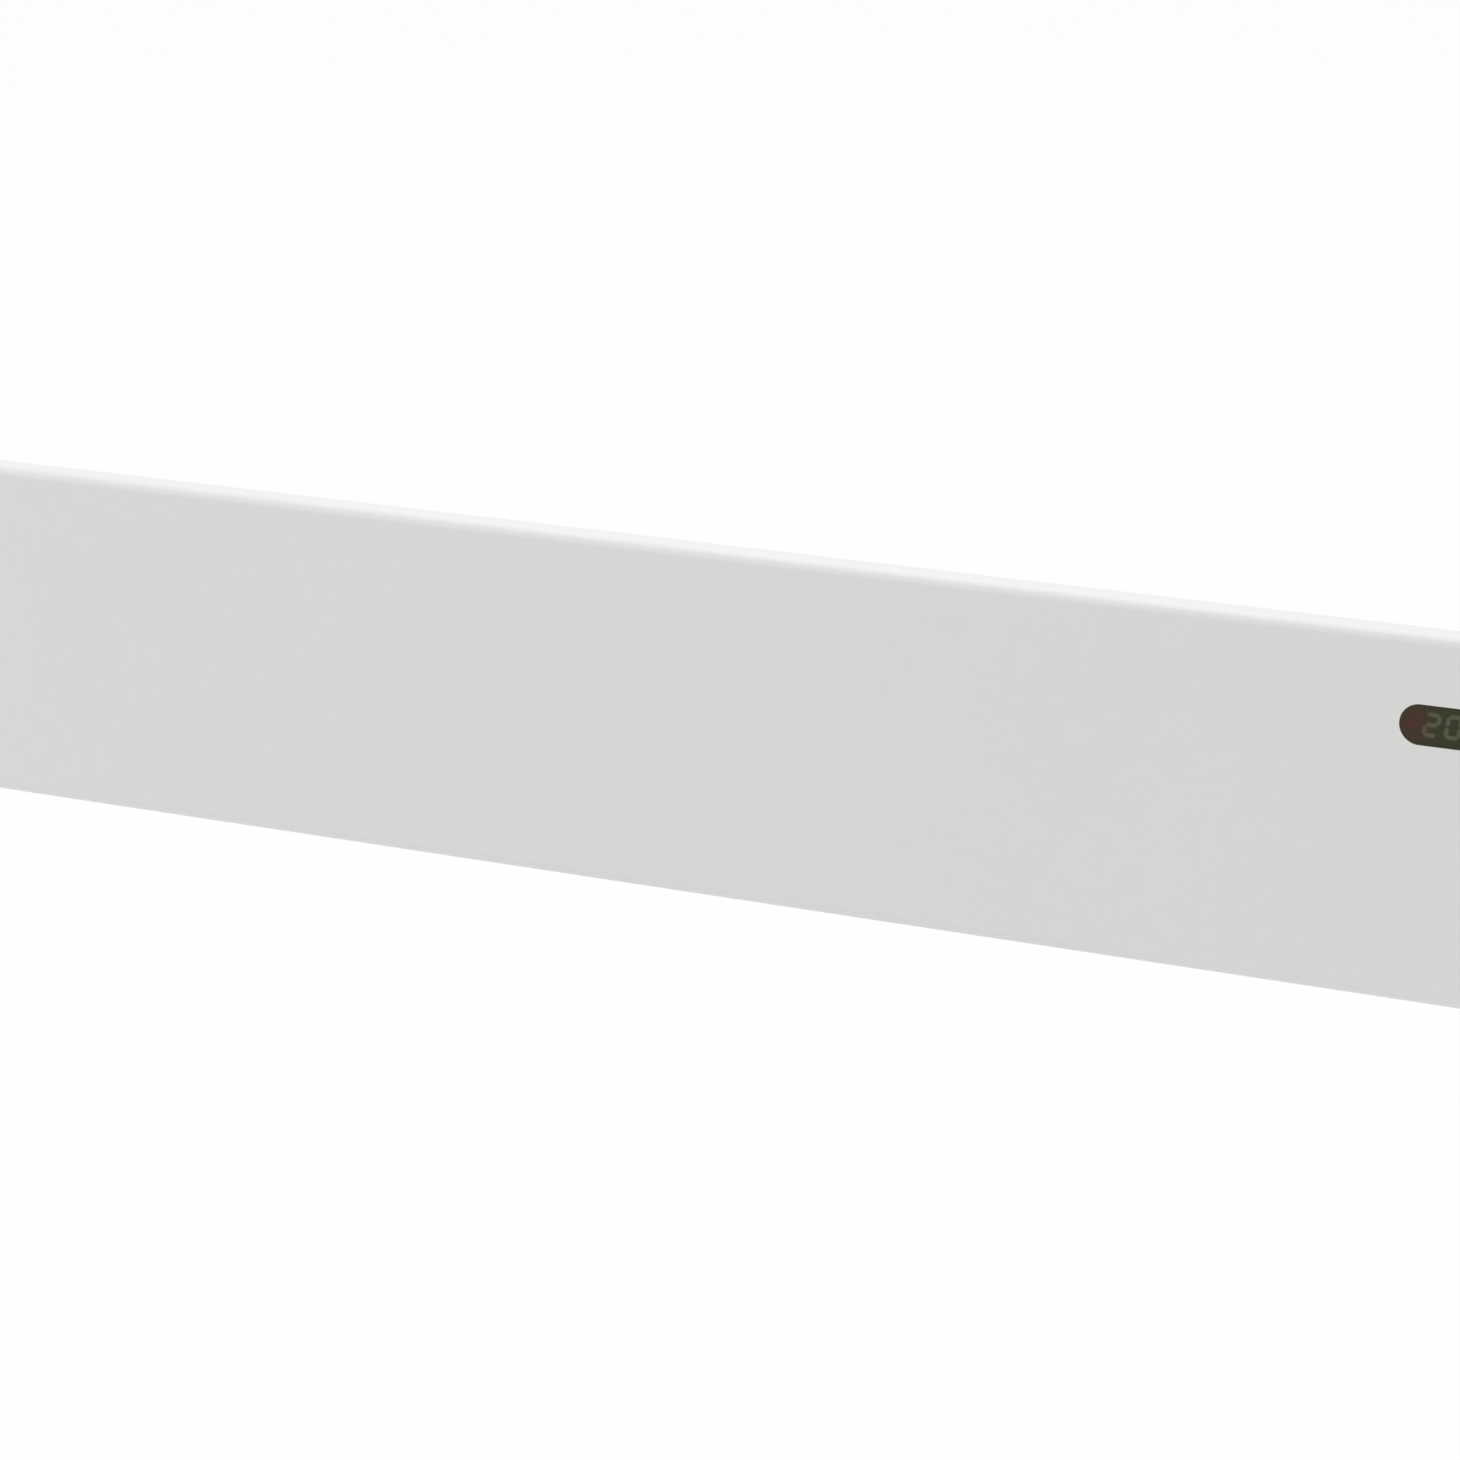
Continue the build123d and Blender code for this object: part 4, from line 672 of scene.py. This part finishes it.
def placed(bar, name, place, turn):
    twin = copy_of(bar, name, (0, 0, 0))
    twin.rotation_euler = (0, turn, 0)
    twin.location = place
    settle()
    return twin


bars = []
for place_in_row, digit in ((-0.5, "two"), (0.5, "nought")):
    for across, up in digit_bars[digit]:
        lean = up * digit_rise * math.tan(bar_lean)
        x = place_in_row * digit_pitch + across * digit_run + lean
        place = digits_centre + Vector((x, 0, up * digit_rise))
        turn = math.pi / 2 + bar_lean if across else 0
        bars.append(placed(tall_bar if across else flat_bar, digit, place, turn))
for pattern in (flat_bar, tall_bar):
    bpy.data.meshes.remove(pattern.data)
digits = joined("display_digits", bars)
smooth(digits)
fit(digits, "heater", "digit_light", "digit_segments")


# %% [markdown]
# ## Push buttons
# Three round keys stand a little proud of the window. Each is one moulding: a flange that keeps
# it from falling out, the cap drawn forwards from the flange and dished for the fingertip, and
# a stem drawn back towards its switch. The signs are printed on real ones; here they are thin
# raised shapes, so that they are there in the mesh too.

# %% Flange and cap
key_names = ["minus", "plus", "mode"]
key_low, key_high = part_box("button_minus")
key_centre = (key_low + key_high) / 2
flange_back = -81.2 * mm
flange_front = -82.2 * mm
flange_rim = 1.25 * mm
cap_edge = 0.7 * mm


def face_round(centre, way):
    """For pick: the face that looks forwards (-1) or back (+1), its middle close to centre."""
    def wanted(face):
        off_centre = (face.calc_center_median() - centre).length
        return face.normal.y * way > 0.99 and off_centre < 0.1 * mm
    return wanted


def on_key_axis(y):
    return Vector((key_centre.x, y, key_centre.z))


flange_middle = on_key_axis((flange_back + flange_front) / 2)
flange_radius = (key_high.x - key_low.x) / 2
key = disc("minus_key_cap", flange_middle, flange_radius, flange_back - flange_front, steps=72)
inset(key, faces_at(1, flange_front), flange_rim)
cap_root = face_round(on_key_axis(flange_front), -1)
draw_out(key, "faces", cap_root, (0, key_low.y - flange_front, 0))
round_edges(key, lambda edge: lies_at(edge, 1, key_low.y), cap_edge, segments=6)
print("flange and cap:", len(key.data.polygons), "faces")

# %% Dish and stem
cap_rim = 0.35 * mm
dish_rings = ((0.5, -0.1), (0.8, -0.12), (1.0, -0.08), (1.1, -0.03))    # widths, depths in mm
flange_to_stem = 5.25 * mm
stem_edge = 0.3 * mm


def cap_top(face):
    """The middle face of the cap's front, which sinks a little with each ring of the dish."""
    off_centre = (face.calc_center_median() - on_key_axis(key_low.y)).length
    return face.normal.y < -0.99 and off_centre < 1 * mm


inset(key, cap_top, cap_rim)
for width, depth in dish_rings:
    inset(key, cap_top, width * mm, depth * mm)
stem_root = face_round(on_key_axis(flange_back), 1)
inset(key, stem_root, flange_to_stem)
draw_out(key, "faces", stem_root, (0, key_high.y - flange_back, 0))
round_edges(key, lambda edge: lies_at(edge, 1, key_high.y), stem_edge, segments=3)
smooth(key)

key_pitch = 16 * mm
keys = [key] + [copy_of(key, key_names[i] + "_key_cap", (i * key_pitch, 0, 0)) for i in (1, 2)]
for name, cap in zip(key_names, keys):
    fit(cap, name + "_key", "button_plastic", "button_" + name)

# %% Minus and plus
sign_front = key_low.y + 0.16 * mm
sign_back = key_low.y + 0.45 * mm
stroke = 0.8 * mm
arm = 2.2 * mm


def stroke_block(name, centre, half_x, half_z):
    low = (centre.x - half_x, sign_front, centre.z - half_z)
    high = (centre.x + half_x, sign_back, centre.z + half_z)
    return block(name, low, high)


def arm_root(axis, way):
    """For pick: the side of the plus sign's middle block that faces way along axis."""
    across = 2 - axis
    def wanted(face):
        middle = face.calc_center_median()
        at_root = near(middle[axis], plus_centre[axis] + way * stroke / 2)
        centred = near(middle[across], plus_centre[across])
        return at_root and centred and abs(face.normal[axis]) > 0.99
    return wanted


minus_sign = stroke_block("minus_sign", key_centre, arm, stroke / 2)
plus_centre = key_centre + Vector((key_pitch, 0, 0))
plus_sign = stroke_block("plus_sign", plus_centre, stroke / 2, stroke / 2)
for axis in (0, 2):
    for way in (-1, 1):
        push = Vector((0, 0, 0))
        push[axis] = way * (arm - stroke / 2)
        draw_out(plus_sign, "faces", arm_root(axis, way), push)
print("plus sign:", len(plus_sign.data.polygons), "faces")

# %% Mode sign
# A ring with a gap at its top and a bar standing in the gap.
ring_outer = 2.3 * mm
ring_inner = 1.6 * mm
ring_steps = 40
ring_punch = 4 * mm
gap_half = 1.0 * mm
gap_bottom = 0.4 * mm
gap_top = 3 * mm
bar_height = 1.45 * mm
bar_half = (0.35 * mm, 1.15 * mm)
sign_edge = 0.05 * mm
mode_centre = key_centre + Vector((2 * key_pitch, 0, 0))
ring_middle = Vector((mode_centre.x, (sign_front + sign_back) / 2, mode_centre.z))
mode_ring = disc("mode_sign", ring_middle, ring_outer, sign_back - sign_front, steps=ring_steps)
cut(mode_ring, disc("ring_hole", ring_middle, ring_inner, ring_punch, steps=ring_steps))
gap_low = (mode_centre.x - gap_half, sign_front - mm, mode_centre.z + gap_bottom)
gap_high = (mode_centre.x + gap_half, sign_back + mm, mode_centre.z + gap_top)
cut(mode_ring, block("ring_gap", gap_low, gap_high))
mode_bar = stroke_block("mode_bar", mode_centre + Vector((0, 0, bar_height)), *bar_half)
mode_sign = joined("mode_sign", [mode_ring, mode_bar])
for name, sign in zip(key_names, (minus_sign, plus_sign, mode_sign)):
    round_edges(sign, lambda edge: lies_at(edge, 1, sign_front), sign_edge, segments=1)
    smooth(sign)
    fit(sign, name + "_key", "white_plastic")


# %% [markdown]
# ## Marks on the rocker
# The mains switch carries the two usual marks, a bar for on and a ring for off. Each lies flat
# on one half of the rocker, which is drawn pressed in at the bar, so both halves lean: the
# marks are added already turned to the slope that they sit on.

# %% Bar and ring
rocker_axis = Vector((581.4 * mm, -45 * mm, -45 * mm))
rocker_turn = math.radians(9)
half_slope = math.atan2(1.4, 7)    # each half of the rocker rises 1.4 mm over its 7 mm
mark_out = 3.3 * mm
mark_up = 3.6 * mm
mark_thick = 0.2 * mm
mark_edge = 0.04 * mm
bar_size = (mark_thick, 0.55 * mm, 2.8 * mm)
off_outer = 1.5 * mm
off_inner = 1.0 * mm
outwards = Vector((math.cos(rocker_turn), 0, math.sin(rocker_turn)))
upwards = Vector((-math.sin(rocker_turn), 0, math.cos(rocker_turn)))
on_place = rocker_axis + outwards * mark_out + upwards * mark_up
off_place = rocker_axis + outwards * mark_out - upwards * mark_up
on_turn = (0, half_slope - rocker_turn, 0)
off_turn = (0, math.pi / 2 - half_slope - rocker_turn, 0)


def level_edge(edge):
    """For pick: every edge but the four that run from front to back."""
    return near(edge.verts[0].co.y, edge.verts[1].co.y)


bpy.ops.object.select_all(action="DESELECT")
bpy.ops.mesh.primitive_cube_add(size=1, location=on_place, rotation=on_turn)
on_mark = newest("on_mark")
on_mark.scale = bar_size
settle()
round_edges(on_mark, level_edge, mark_edge, segments=1)
off_mark = disc("off_mark", off_place, off_outer, mark_thick, steps=36, turn=off_turn)
cut(off_mark, disc("off_hole", off_place, off_inner, 4 * mark_thick, steps=36, turn=off_turn))
marks = joined("rocker_marks", [on_mark, off_mark])
smooth(marks)
fit(marks, "rocker", "white_plastic")


# %% [markdown]
# ## Painted steel
# The panel is powder coated: a smooth off-white film with a very fine orange peel, which only
# shows in reflections. The bumps are about two millimetres across and a few hundredths of a
# millimetre deep. Plain noise does that well; a drawn texture would repeat along 1.2 metres.

# %% Powder coat
def powder_coat(name, colour, shade, roughness, peel_depth):
    """Sprayed and baked paint with orange peel, faint clouds in its colour and in its gloss."""
    coat = Finish(name, colour, roughness)
    clouds = coat.grain(90 * mm, detail=3)
    coat.put("Base Color", coat.blend(clouds, colour, shade))
    coat.put("Roughness", coat.sway(coat.grain(30 * mm), roughness - 0.04, roughness + 0.04))
    peel = coat.grain(1.8 * mm, detail=1) + coat.grain(0.6 * mm, detail=0) * 0.35
    coat.relief(peel, peel_depth)
    return coat.material


finishes = {}
paints = {    # colour, shade, roughness, depth of the peel
    "front_paint": ((232, 232, 231), (230, 230, 229), 0.42, 0.03 * mm),
    "casing_paint": ((224, 225, 223), (219, 220, 218), 0.5, 0.06 * mm),
}
for name, (colour, shade, roughness, peel_depth) in paints.items():
    finishes[name] = powder_coat(name, paint(*colour), paint(*shade), roughness, peel_depth)
print("paints:", list(finishes))


# %% [markdown]
# ## Bare metals
# Zinc, stainless steel and aluminium differ less in colour than in how they break up a
# highlight: zinc has crystals, and rolled or drawn metal has lines. The rod is straw brown,
# because it runs hot. Each could be one flat grey, but then all the metals would look alike.

# %% Zinc
def galvanised(name):
    """Zinc-coated sheet: crystals of about three millimetres in almost one grey, faint rubs."""
    zinc = Finish(name, paint(178, 181, 184), 0.4, 1.0)
    noise = {"Vector": zinc.place, "Scale": 260.0, "Detail": 2.0}
    colours = zinc.add("TexNoise", {}, noise, output="Color")
    sockets = {0: colours, 1: (3 * mm, 3 * mm, 3 * mm), 2: zinc.place}
    wobble = zinc.add("VectorMath", {"operation": "MULTIPLY_ADD"}, sockets)
    crystal = zinc.add("TexVoronoi", {}, {"Vector": wobble, "Scale": 330.0}, output="Color")
    tone = zinc.add("SeparateColor", {}, {0: crystal})
    clouds = zinc.grain(50 * mm, detail=3)
    rubs = zinc.scratches(4 * mm, 0.012, (0.08, 1, 1))
    mixed = tone * 0.5 + clouds * 0.5
    zinc.put("Base Color", zinc.blend(mixed, paint(168, 172, 175), paint(188, 190, 192)))
    zinc.put("Roughness", zinc.spread(tone * 0.7 + rubs * 0.3, 0.0, 1.0, 0.46, 0.34))
    zinc.relief(tone * 0.4 + rubs * -0.6, 0.01 * mm)
    return zinc.material


finishes["zinc_steel"] = galvanised("zinc_steel")
print("zinc made")


# %% Shield, fins, rod, screws and brass
def drawn_metal(name, dark, light, roughness, stretch, line_size):
    """Metal with fine lines along one direction, as rolling or a die leaves them."""
    metal = Finish(name, light, roughness, 1.0)
    lines = metal.grain(line_size, detail=3, stretch=stretch)
    patches = metal.grain(20 * mm, detail=2)
    metal.put("Base Color", metal.blend(lines * 0.6 + patches * 0.4, dark, light))
    metal.put("Roughness", metal.sway(patches, roughness - 0.07, roughness + 0.07))
    metal.relief(lines, 0.02 * mm)
    return metal.material


metals = {    # dark, light, roughness, share kept of the pattern's length along X, size of a line
    "shield_steel": ((150, 152, 155), (186, 188, 190), 0.36, 0.04, 0.6 * mm),
    "fin_aluminium": ((168, 170, 172), (206, 208, 210), 0.4, 0.03, 0.5 * mm),
    "rod_steel": ((120, 104, 88), (176, 170, 160), 0.34, 0.05, 1.0 * mm),
    "screw_steel": ((150, 152, 156), (205, 206, 208), 0.3, 1, 0.5 * mm),
    "brass_contact": ((150, 118, 62), (214, 182, 112), 0.32, 1, 0.8 * mm),
}
for name, (dark, light, roughness, along_x, line_size) in metals.items():
    stretch = (along_x, 1, 1)
    finishes[name] = drawn_metal(name, paint(*dark), paint(*light), roughness, stretch, line_size)
print("finishes:", len(finishes))


# %% [markdown]
# ## Moulded plastics, rubber and ceramic
# Mouldings take the grain of their mould. On dark parts it shows as a soft, broken sheen. One
# recipe serves them all, because they differ in colour and gloss more than in their grain.

# %% Plastics
def moulded(name, colour, shade, roughness):
    """Moulded plastic: mould grain, faint clouds of flow, a few handling lines in the gloss."""
    plastic = Finish(name, colour, roughness)
    speckle = plastic.grain(0.5 * mm, detail=2)
    clouds = plastic.grain(12 * mm, detail=3)
    handling = plastic.scratches(6 * mm, 0.01, (1, 1, 0.12))
    plastic.put("Base Color", plastic.blend(clouds, colour, shade))
    sheen = plastic.sway(clouds, roughness - 0.05, roughness + 0.06)
    plastic.put("Roughness", sheen - handling * 0.08)
    plastic.relief(speckle, 0.05 * mm)
    return plastic.material


plastics = {    # colour, shade, roughness
    "black_plastic": ((34, 35, 36), (44, 45, 46), 0.5),
    "button_plastic": ((40, 41, 41), (48, 49, 48), 0.46),
    "grey_plastic": ((216, 217, 215), (208, 209, 207), 0.48),
    "white_plastic": ((226, 224, 214), (214, 212, 200), 0.42),
    "relay_blue": ((38, 76, 148), (30, 64, 130), 0.36),
    "rubber_black": ((28, 28, 28), (42, 42, 41), 0.78),
    "ceramic_white": ((232, 228, 216), (214, 208, 194), 0.3),
    "lead_red": ((176, 34, 30), (150, 26, 24), 0.44),
    "lead_blue": ((36, 78, 160), (28, 64, 138), 0.44),
    "lead_black": ((36, 36, 37), (50, 50, 50), 0.46),
}
for name, (colour, shade, roughness) in plastics.items():
    finishes[name] = moulded(name, paint(*colour), paint(*shade), roughness)
print("finishes:", len(finishes))


# %% [markdown]
# ## Circuit board and earth lead
# A board is green lacquer over copper tracks, and an earth lead is green with a yellow stripe
# wound round it. Both patterns are regular, so a brick and a wave texture serve better than
# noise: the mortar lines are the tracks, and slanting bands are the stripe.

# %% Board and lead
def board_finish():
    board = Finish("board_green", paint(24, 92, 52), 0.35)
    tracks = board.add("TexBrick", {"offset": 0.5}, {
        "Vector": board.place, "Color1": paint(22, 88, 50), "Color2": paint(26, 98, 56),
        "Mortar": paint(40, 122, 70), "Scale": 260.0, "Mortar Size": 0.06,
    }, output="Color")
    board.put("Base Color", tracks)
    board.relief(board.grain(1.0 * mm), 0.01 * mm)
    return board.material


def striped_lead():
    green, yellow = paint(46, 128, 54), paint(206, 190, 44)
    lead = Finish("lead_green", green, 0.44)
    bands = {"Vector": lead.place, "Scale": 60.0}
    turns = lead.add("TexWave", {"bands_direction": "DIAGONAL"}, bands, output="Fac")
    stripe = lead.spread(turns, 0.62, 0.68, 0.0, 1.0)
    lead.put("Base Color", lead.blend(stripe, green, yellow))
    lead.put("Roughness", lead.sway(lead.grain(2 * mm), 0.38, 0.5))
    lead.relief(lead.grain(0.6 * mm), 0.01 * mm)
    return lead.material


finishes["board_green"] = board_finish()
finishes["lead_green"] = striped_lead()
print("finishes:", len(finishes))


# %% [markdown]
# ## Window and lights
# The window is smoked plastic: nearly black, with the display and the red light glowing dimly
# through it. Real lights could be set behind it, but they would light the room as well. Here the
# bars and the lamp shine by themselves, most at their middle. The plastic has a faint painted glow
# of its own round them, because smoked plastic scatters some of the light that goes through it.
# Near the red lamp the plastic's colour is also tinted red: a painted red glow of the lamp's light.

# %% Smoked window
lamp_low, lamp_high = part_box("status_led")
lamp_x = (lamp_low.x + lamp_high.x) / 2
lamp_z = (lamp_low.z + lamp_high.z) / 2
# The second colour is the window tinted by the red lamp's light: painted light, not the plastic's
# own colour.
smoke, red_glow_tint = paint(91, 93, 76), paint(94, 42, 50)
red_glow_reach = 13 * mm
red_reach = 18 * mm
olive_reach = 24 * mm


def lens_finish():
    lens = Finish("smoked_lens", smoke, 0.1)
    # Round the red lamp the window's colour turns red: a painted red glow of the lamp's light.
    red_glow_mask = lens.spot(lamp_x, lamp_z, red_glow_reach)
    lens.put("Base Color", lens.blend(red_glow_mask, smoke, red_glow_tint))
    smears = lens.grain(8 * mm, detail=4)
    lens.put("Roughness", lens.spread(smears, 0.35, 0.7, 0.07, 0.16))
    lens.put("Transmission Weight", 0.95)
    lens.put("IOR", 1.49)
    lens.put("Specular IOR Level", 0.055)
    lens.put("Specular Tint", (0.95, 0.95, 0.6, 1.0))
    # The emission round the digits and the red lamp is a painted glow in the plastic, which is no
    # lamp itself.
    round_digits = lens.spot(digits_centre.x, digits_centre.z, olive_reach)
    olive = lens.blend(round_digits, paint(2, 2, 1), paint(6, 9, 2))
    round_lamp = lens.spot(lamp_x, lamp_z, red_reach)
    lens.put("Emission Color", lens.blend(round_lamp, olive, paint(32, 3, 11)))
    lens.put("Emission Strength", 1.0)
    return lens.material


finishes["smoked_lens"] = lens_finish()
print("red lamp at", round(lamp_x, 4), round(lamp_z, 4))

# %% Digits and red lamp
digit_centre, digit_edge = paint(196, 206, 200), paint(180, 196, 180)
digit_reach = 20 * mm
digit_strength = 0.9
red_centre, red_edge = paint(190, 84, 92), paint(110, 16, 28)
lamp_reach = 4.4 * mm
lamp_strength = 0.28


def light_finish(name, centre_colour, edge_colour, x, z, reach, strength):
    """A light guide, brightest at its middle."""
    light = Finish(name, edge_colour, 0.4)
    clouds = light.grain(3 * mm, detail=1)
    light.put("Base Color", light.blend(clouds, paint(60, 60, 56), paint(70, 70, 64)))
    glow = light.spot(x, z, reach)
    light.put("Emission Color", light.blend(glow, edge_colour, centre_colour))
    light.put("Emission Strength", strength)
    return light.material


finishes["digit_light"] = light_finish(
    "digit_light", digit_centre, digit_edge,
    digits_centre.x, digits_centre.z, digit_reach, digit_strength,
)
finishes["red_light"] = light_finish(
    "red_light", red_centre, red_edge, lamp_x, lamp_z, lamp_reach, lamp_strength
)
for slot in frame["record"]["materials"]:
    print(slot["slot"], "made" if slot["slot"] in finishes else "missing")

# %% Put the finishes on
for node in frame["nodes"].values():
    slot = node.data.materials[0].name
    node.data.materials.clear()
    node.data.materials.append(finishes[slot])
for piece, slot in dressed:
    piece.data.materials.clear()
    piece.data.materials.append(finishes[slot])
print("finished nodes:", len(frame["nodes"]), "and new pieces:", len(dressed))


# %% [markdown]
# ## Camera
# The photograph looks from the right and a little above, with a long lens, and cuts both ends
# of the heater off. The camera therefore aims at a point of the front face, not at the middle.

# %% Camera at the photograph's angle
camera_data = bpy.data.cameras.new("camera")
camera_data.sensor_width = 36
camera_data.lens = 112.89
camera = bpy.data.objects.new("camera", camera_data)
bpy.context.scene.collection.objects.link(camera)
aim = Vector((0.0337, -0.085, -0.0007))
azimuth = math.radians(24.81)
elevation = math.radians(17.0)
distance = 2.7565
back = Vector((
    math.sin(azimuth) * math.cos(elevation),
    -math.cos(azimuth) * math.cos(elevation),
    math.sin(elevation),
))
camera.location = aim + back * distance
camera.rotation_mode = "QUATERNION"
camera.rotation_quaternion = (-back).to_track_quat("-Z", "Y")
bpy.context.scene.camera = camera
bpy.context.scene.view_settings.view_transform = "Standard"
print("camera at", [round(c, 3) for c in camera.location])


# %% [markdown]
# ## Studio
# The photograph has a pure white ground. The floor is a pale sheet that shows white to the
# camera and in reflections, and keeps a little of its own shading, so the heater's shadow
# stays. The sky behind is a hair below white, as the floor is, so that no horizon shows. Large
# soft lamps above and in front give the top edge its brighter line. The left one is slightly
# cool and the right one slightly warm, as on the panel's two sides in the photograph.

# %% Floor
floor_height = -0.34
floor_size = 60
floor_whiteness = 0.96    # the rest of what the camera sees is the floor's own shading
white = (1, 1, 1, 1)


def seen_rays(network):
    """1 on rays from the camera, a mirror or through clear stuff; 0 on light under way."""
    straight, mirrored, through = [
        network.add("LightPath", output="Is " + kind + " Ray")
        for kind in ("Camera", "Glossy", "Transmission")
    ]
    return straight + mirrored + through


bpy.ops.object.select_all(action="DESELECT")
bpy.ops.mesh.primitive_plane_add(size=floor_size, location=(0, 0, floor_height))
floor = bpy.context.object
floor.name = "floor"
floor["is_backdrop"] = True

floor_paint = Finish("floor_white", paint(240, 240, 239), 0.9)
shaded = Value(floor_paint, floor_paint.shader.outputs[0])
glow = floor_paint.add("Emission", {}, {"Color": white, "Strength": 1.0})
shown = seen_rays(floor_paint) * floor_whiteness
above = floor_paint.add("MixShader", {}, {0: shown, 1: shaded, 2: glow})
clear = floor_paint.add("BsdfTransparent")
below = floor_paint.add("NewGeometry", output="Backfacing")
whole = floor_paint.add("MixShader", {}, {0: below, 1: above, 2: clear})
floor_paint.fill(floor_paint.tree.nodes["Material Output"].inputs["Surface"], whole)
floor.data.materials.append(floor_paint.material)
print("floor at", floor_height, "m")

# %% World and lamps
sky_light = 0.56
sky_whiteness = 0.985
world = bpy.data.worlds.new("studio")
bpy.context.scene.world = world
world.use_nodes = True
sky = Network(world.node_tree)
backdrop = sky.tree.nodes["Background"]
strength = sky.spread(seen_rays(sky), 0.0, 1.0, sky_light, sky_whiteness)
sky.fill(backdrop.inputs["Color"], white)
sky.fill(backdrop.inputs["Strength"], strength)


def lamp(name, place, width, height, power, colour):
    """A large soft lamp that looks at the heater's middle."""
    light = bpy.data.lights.new(name, "AREA")
    light.shape = "RECTANGLE"
    light.size = width
    light.size_y = height
    light.energy = power
    light.color = colour
    holder = bpy.data.objects.new(name, light)
    holder.location = place
    holder.rotation_mode = "QUATERNION"
    holder.rotation_quaternion = (Vector((0, 0, 0)) - Vector(place)).to_track_quat("-Z", "Y")
    bpy.context.scene.collection.objects.link(holder)
    print(name, power, "W")


lamp("overhead", (0, 0.2, 3.0), 4.0, 3.0, 62, (1.0, 1.0, 1.0))
lamp("left", (-2.0, -3.2, 1.0), 2.0, 2.0, 15.5, (0.89, 0.99, 1.0))
lamp("right", (2.8, -2.6, 1.0), 2.0, 2.0, 6.5, (1.0, 0.93, 0.84))

# %% Sizes
low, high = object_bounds()
print("size difference:", [round(a - b, 5) for a, b in zip(high - low, solid_high - solid_low)])
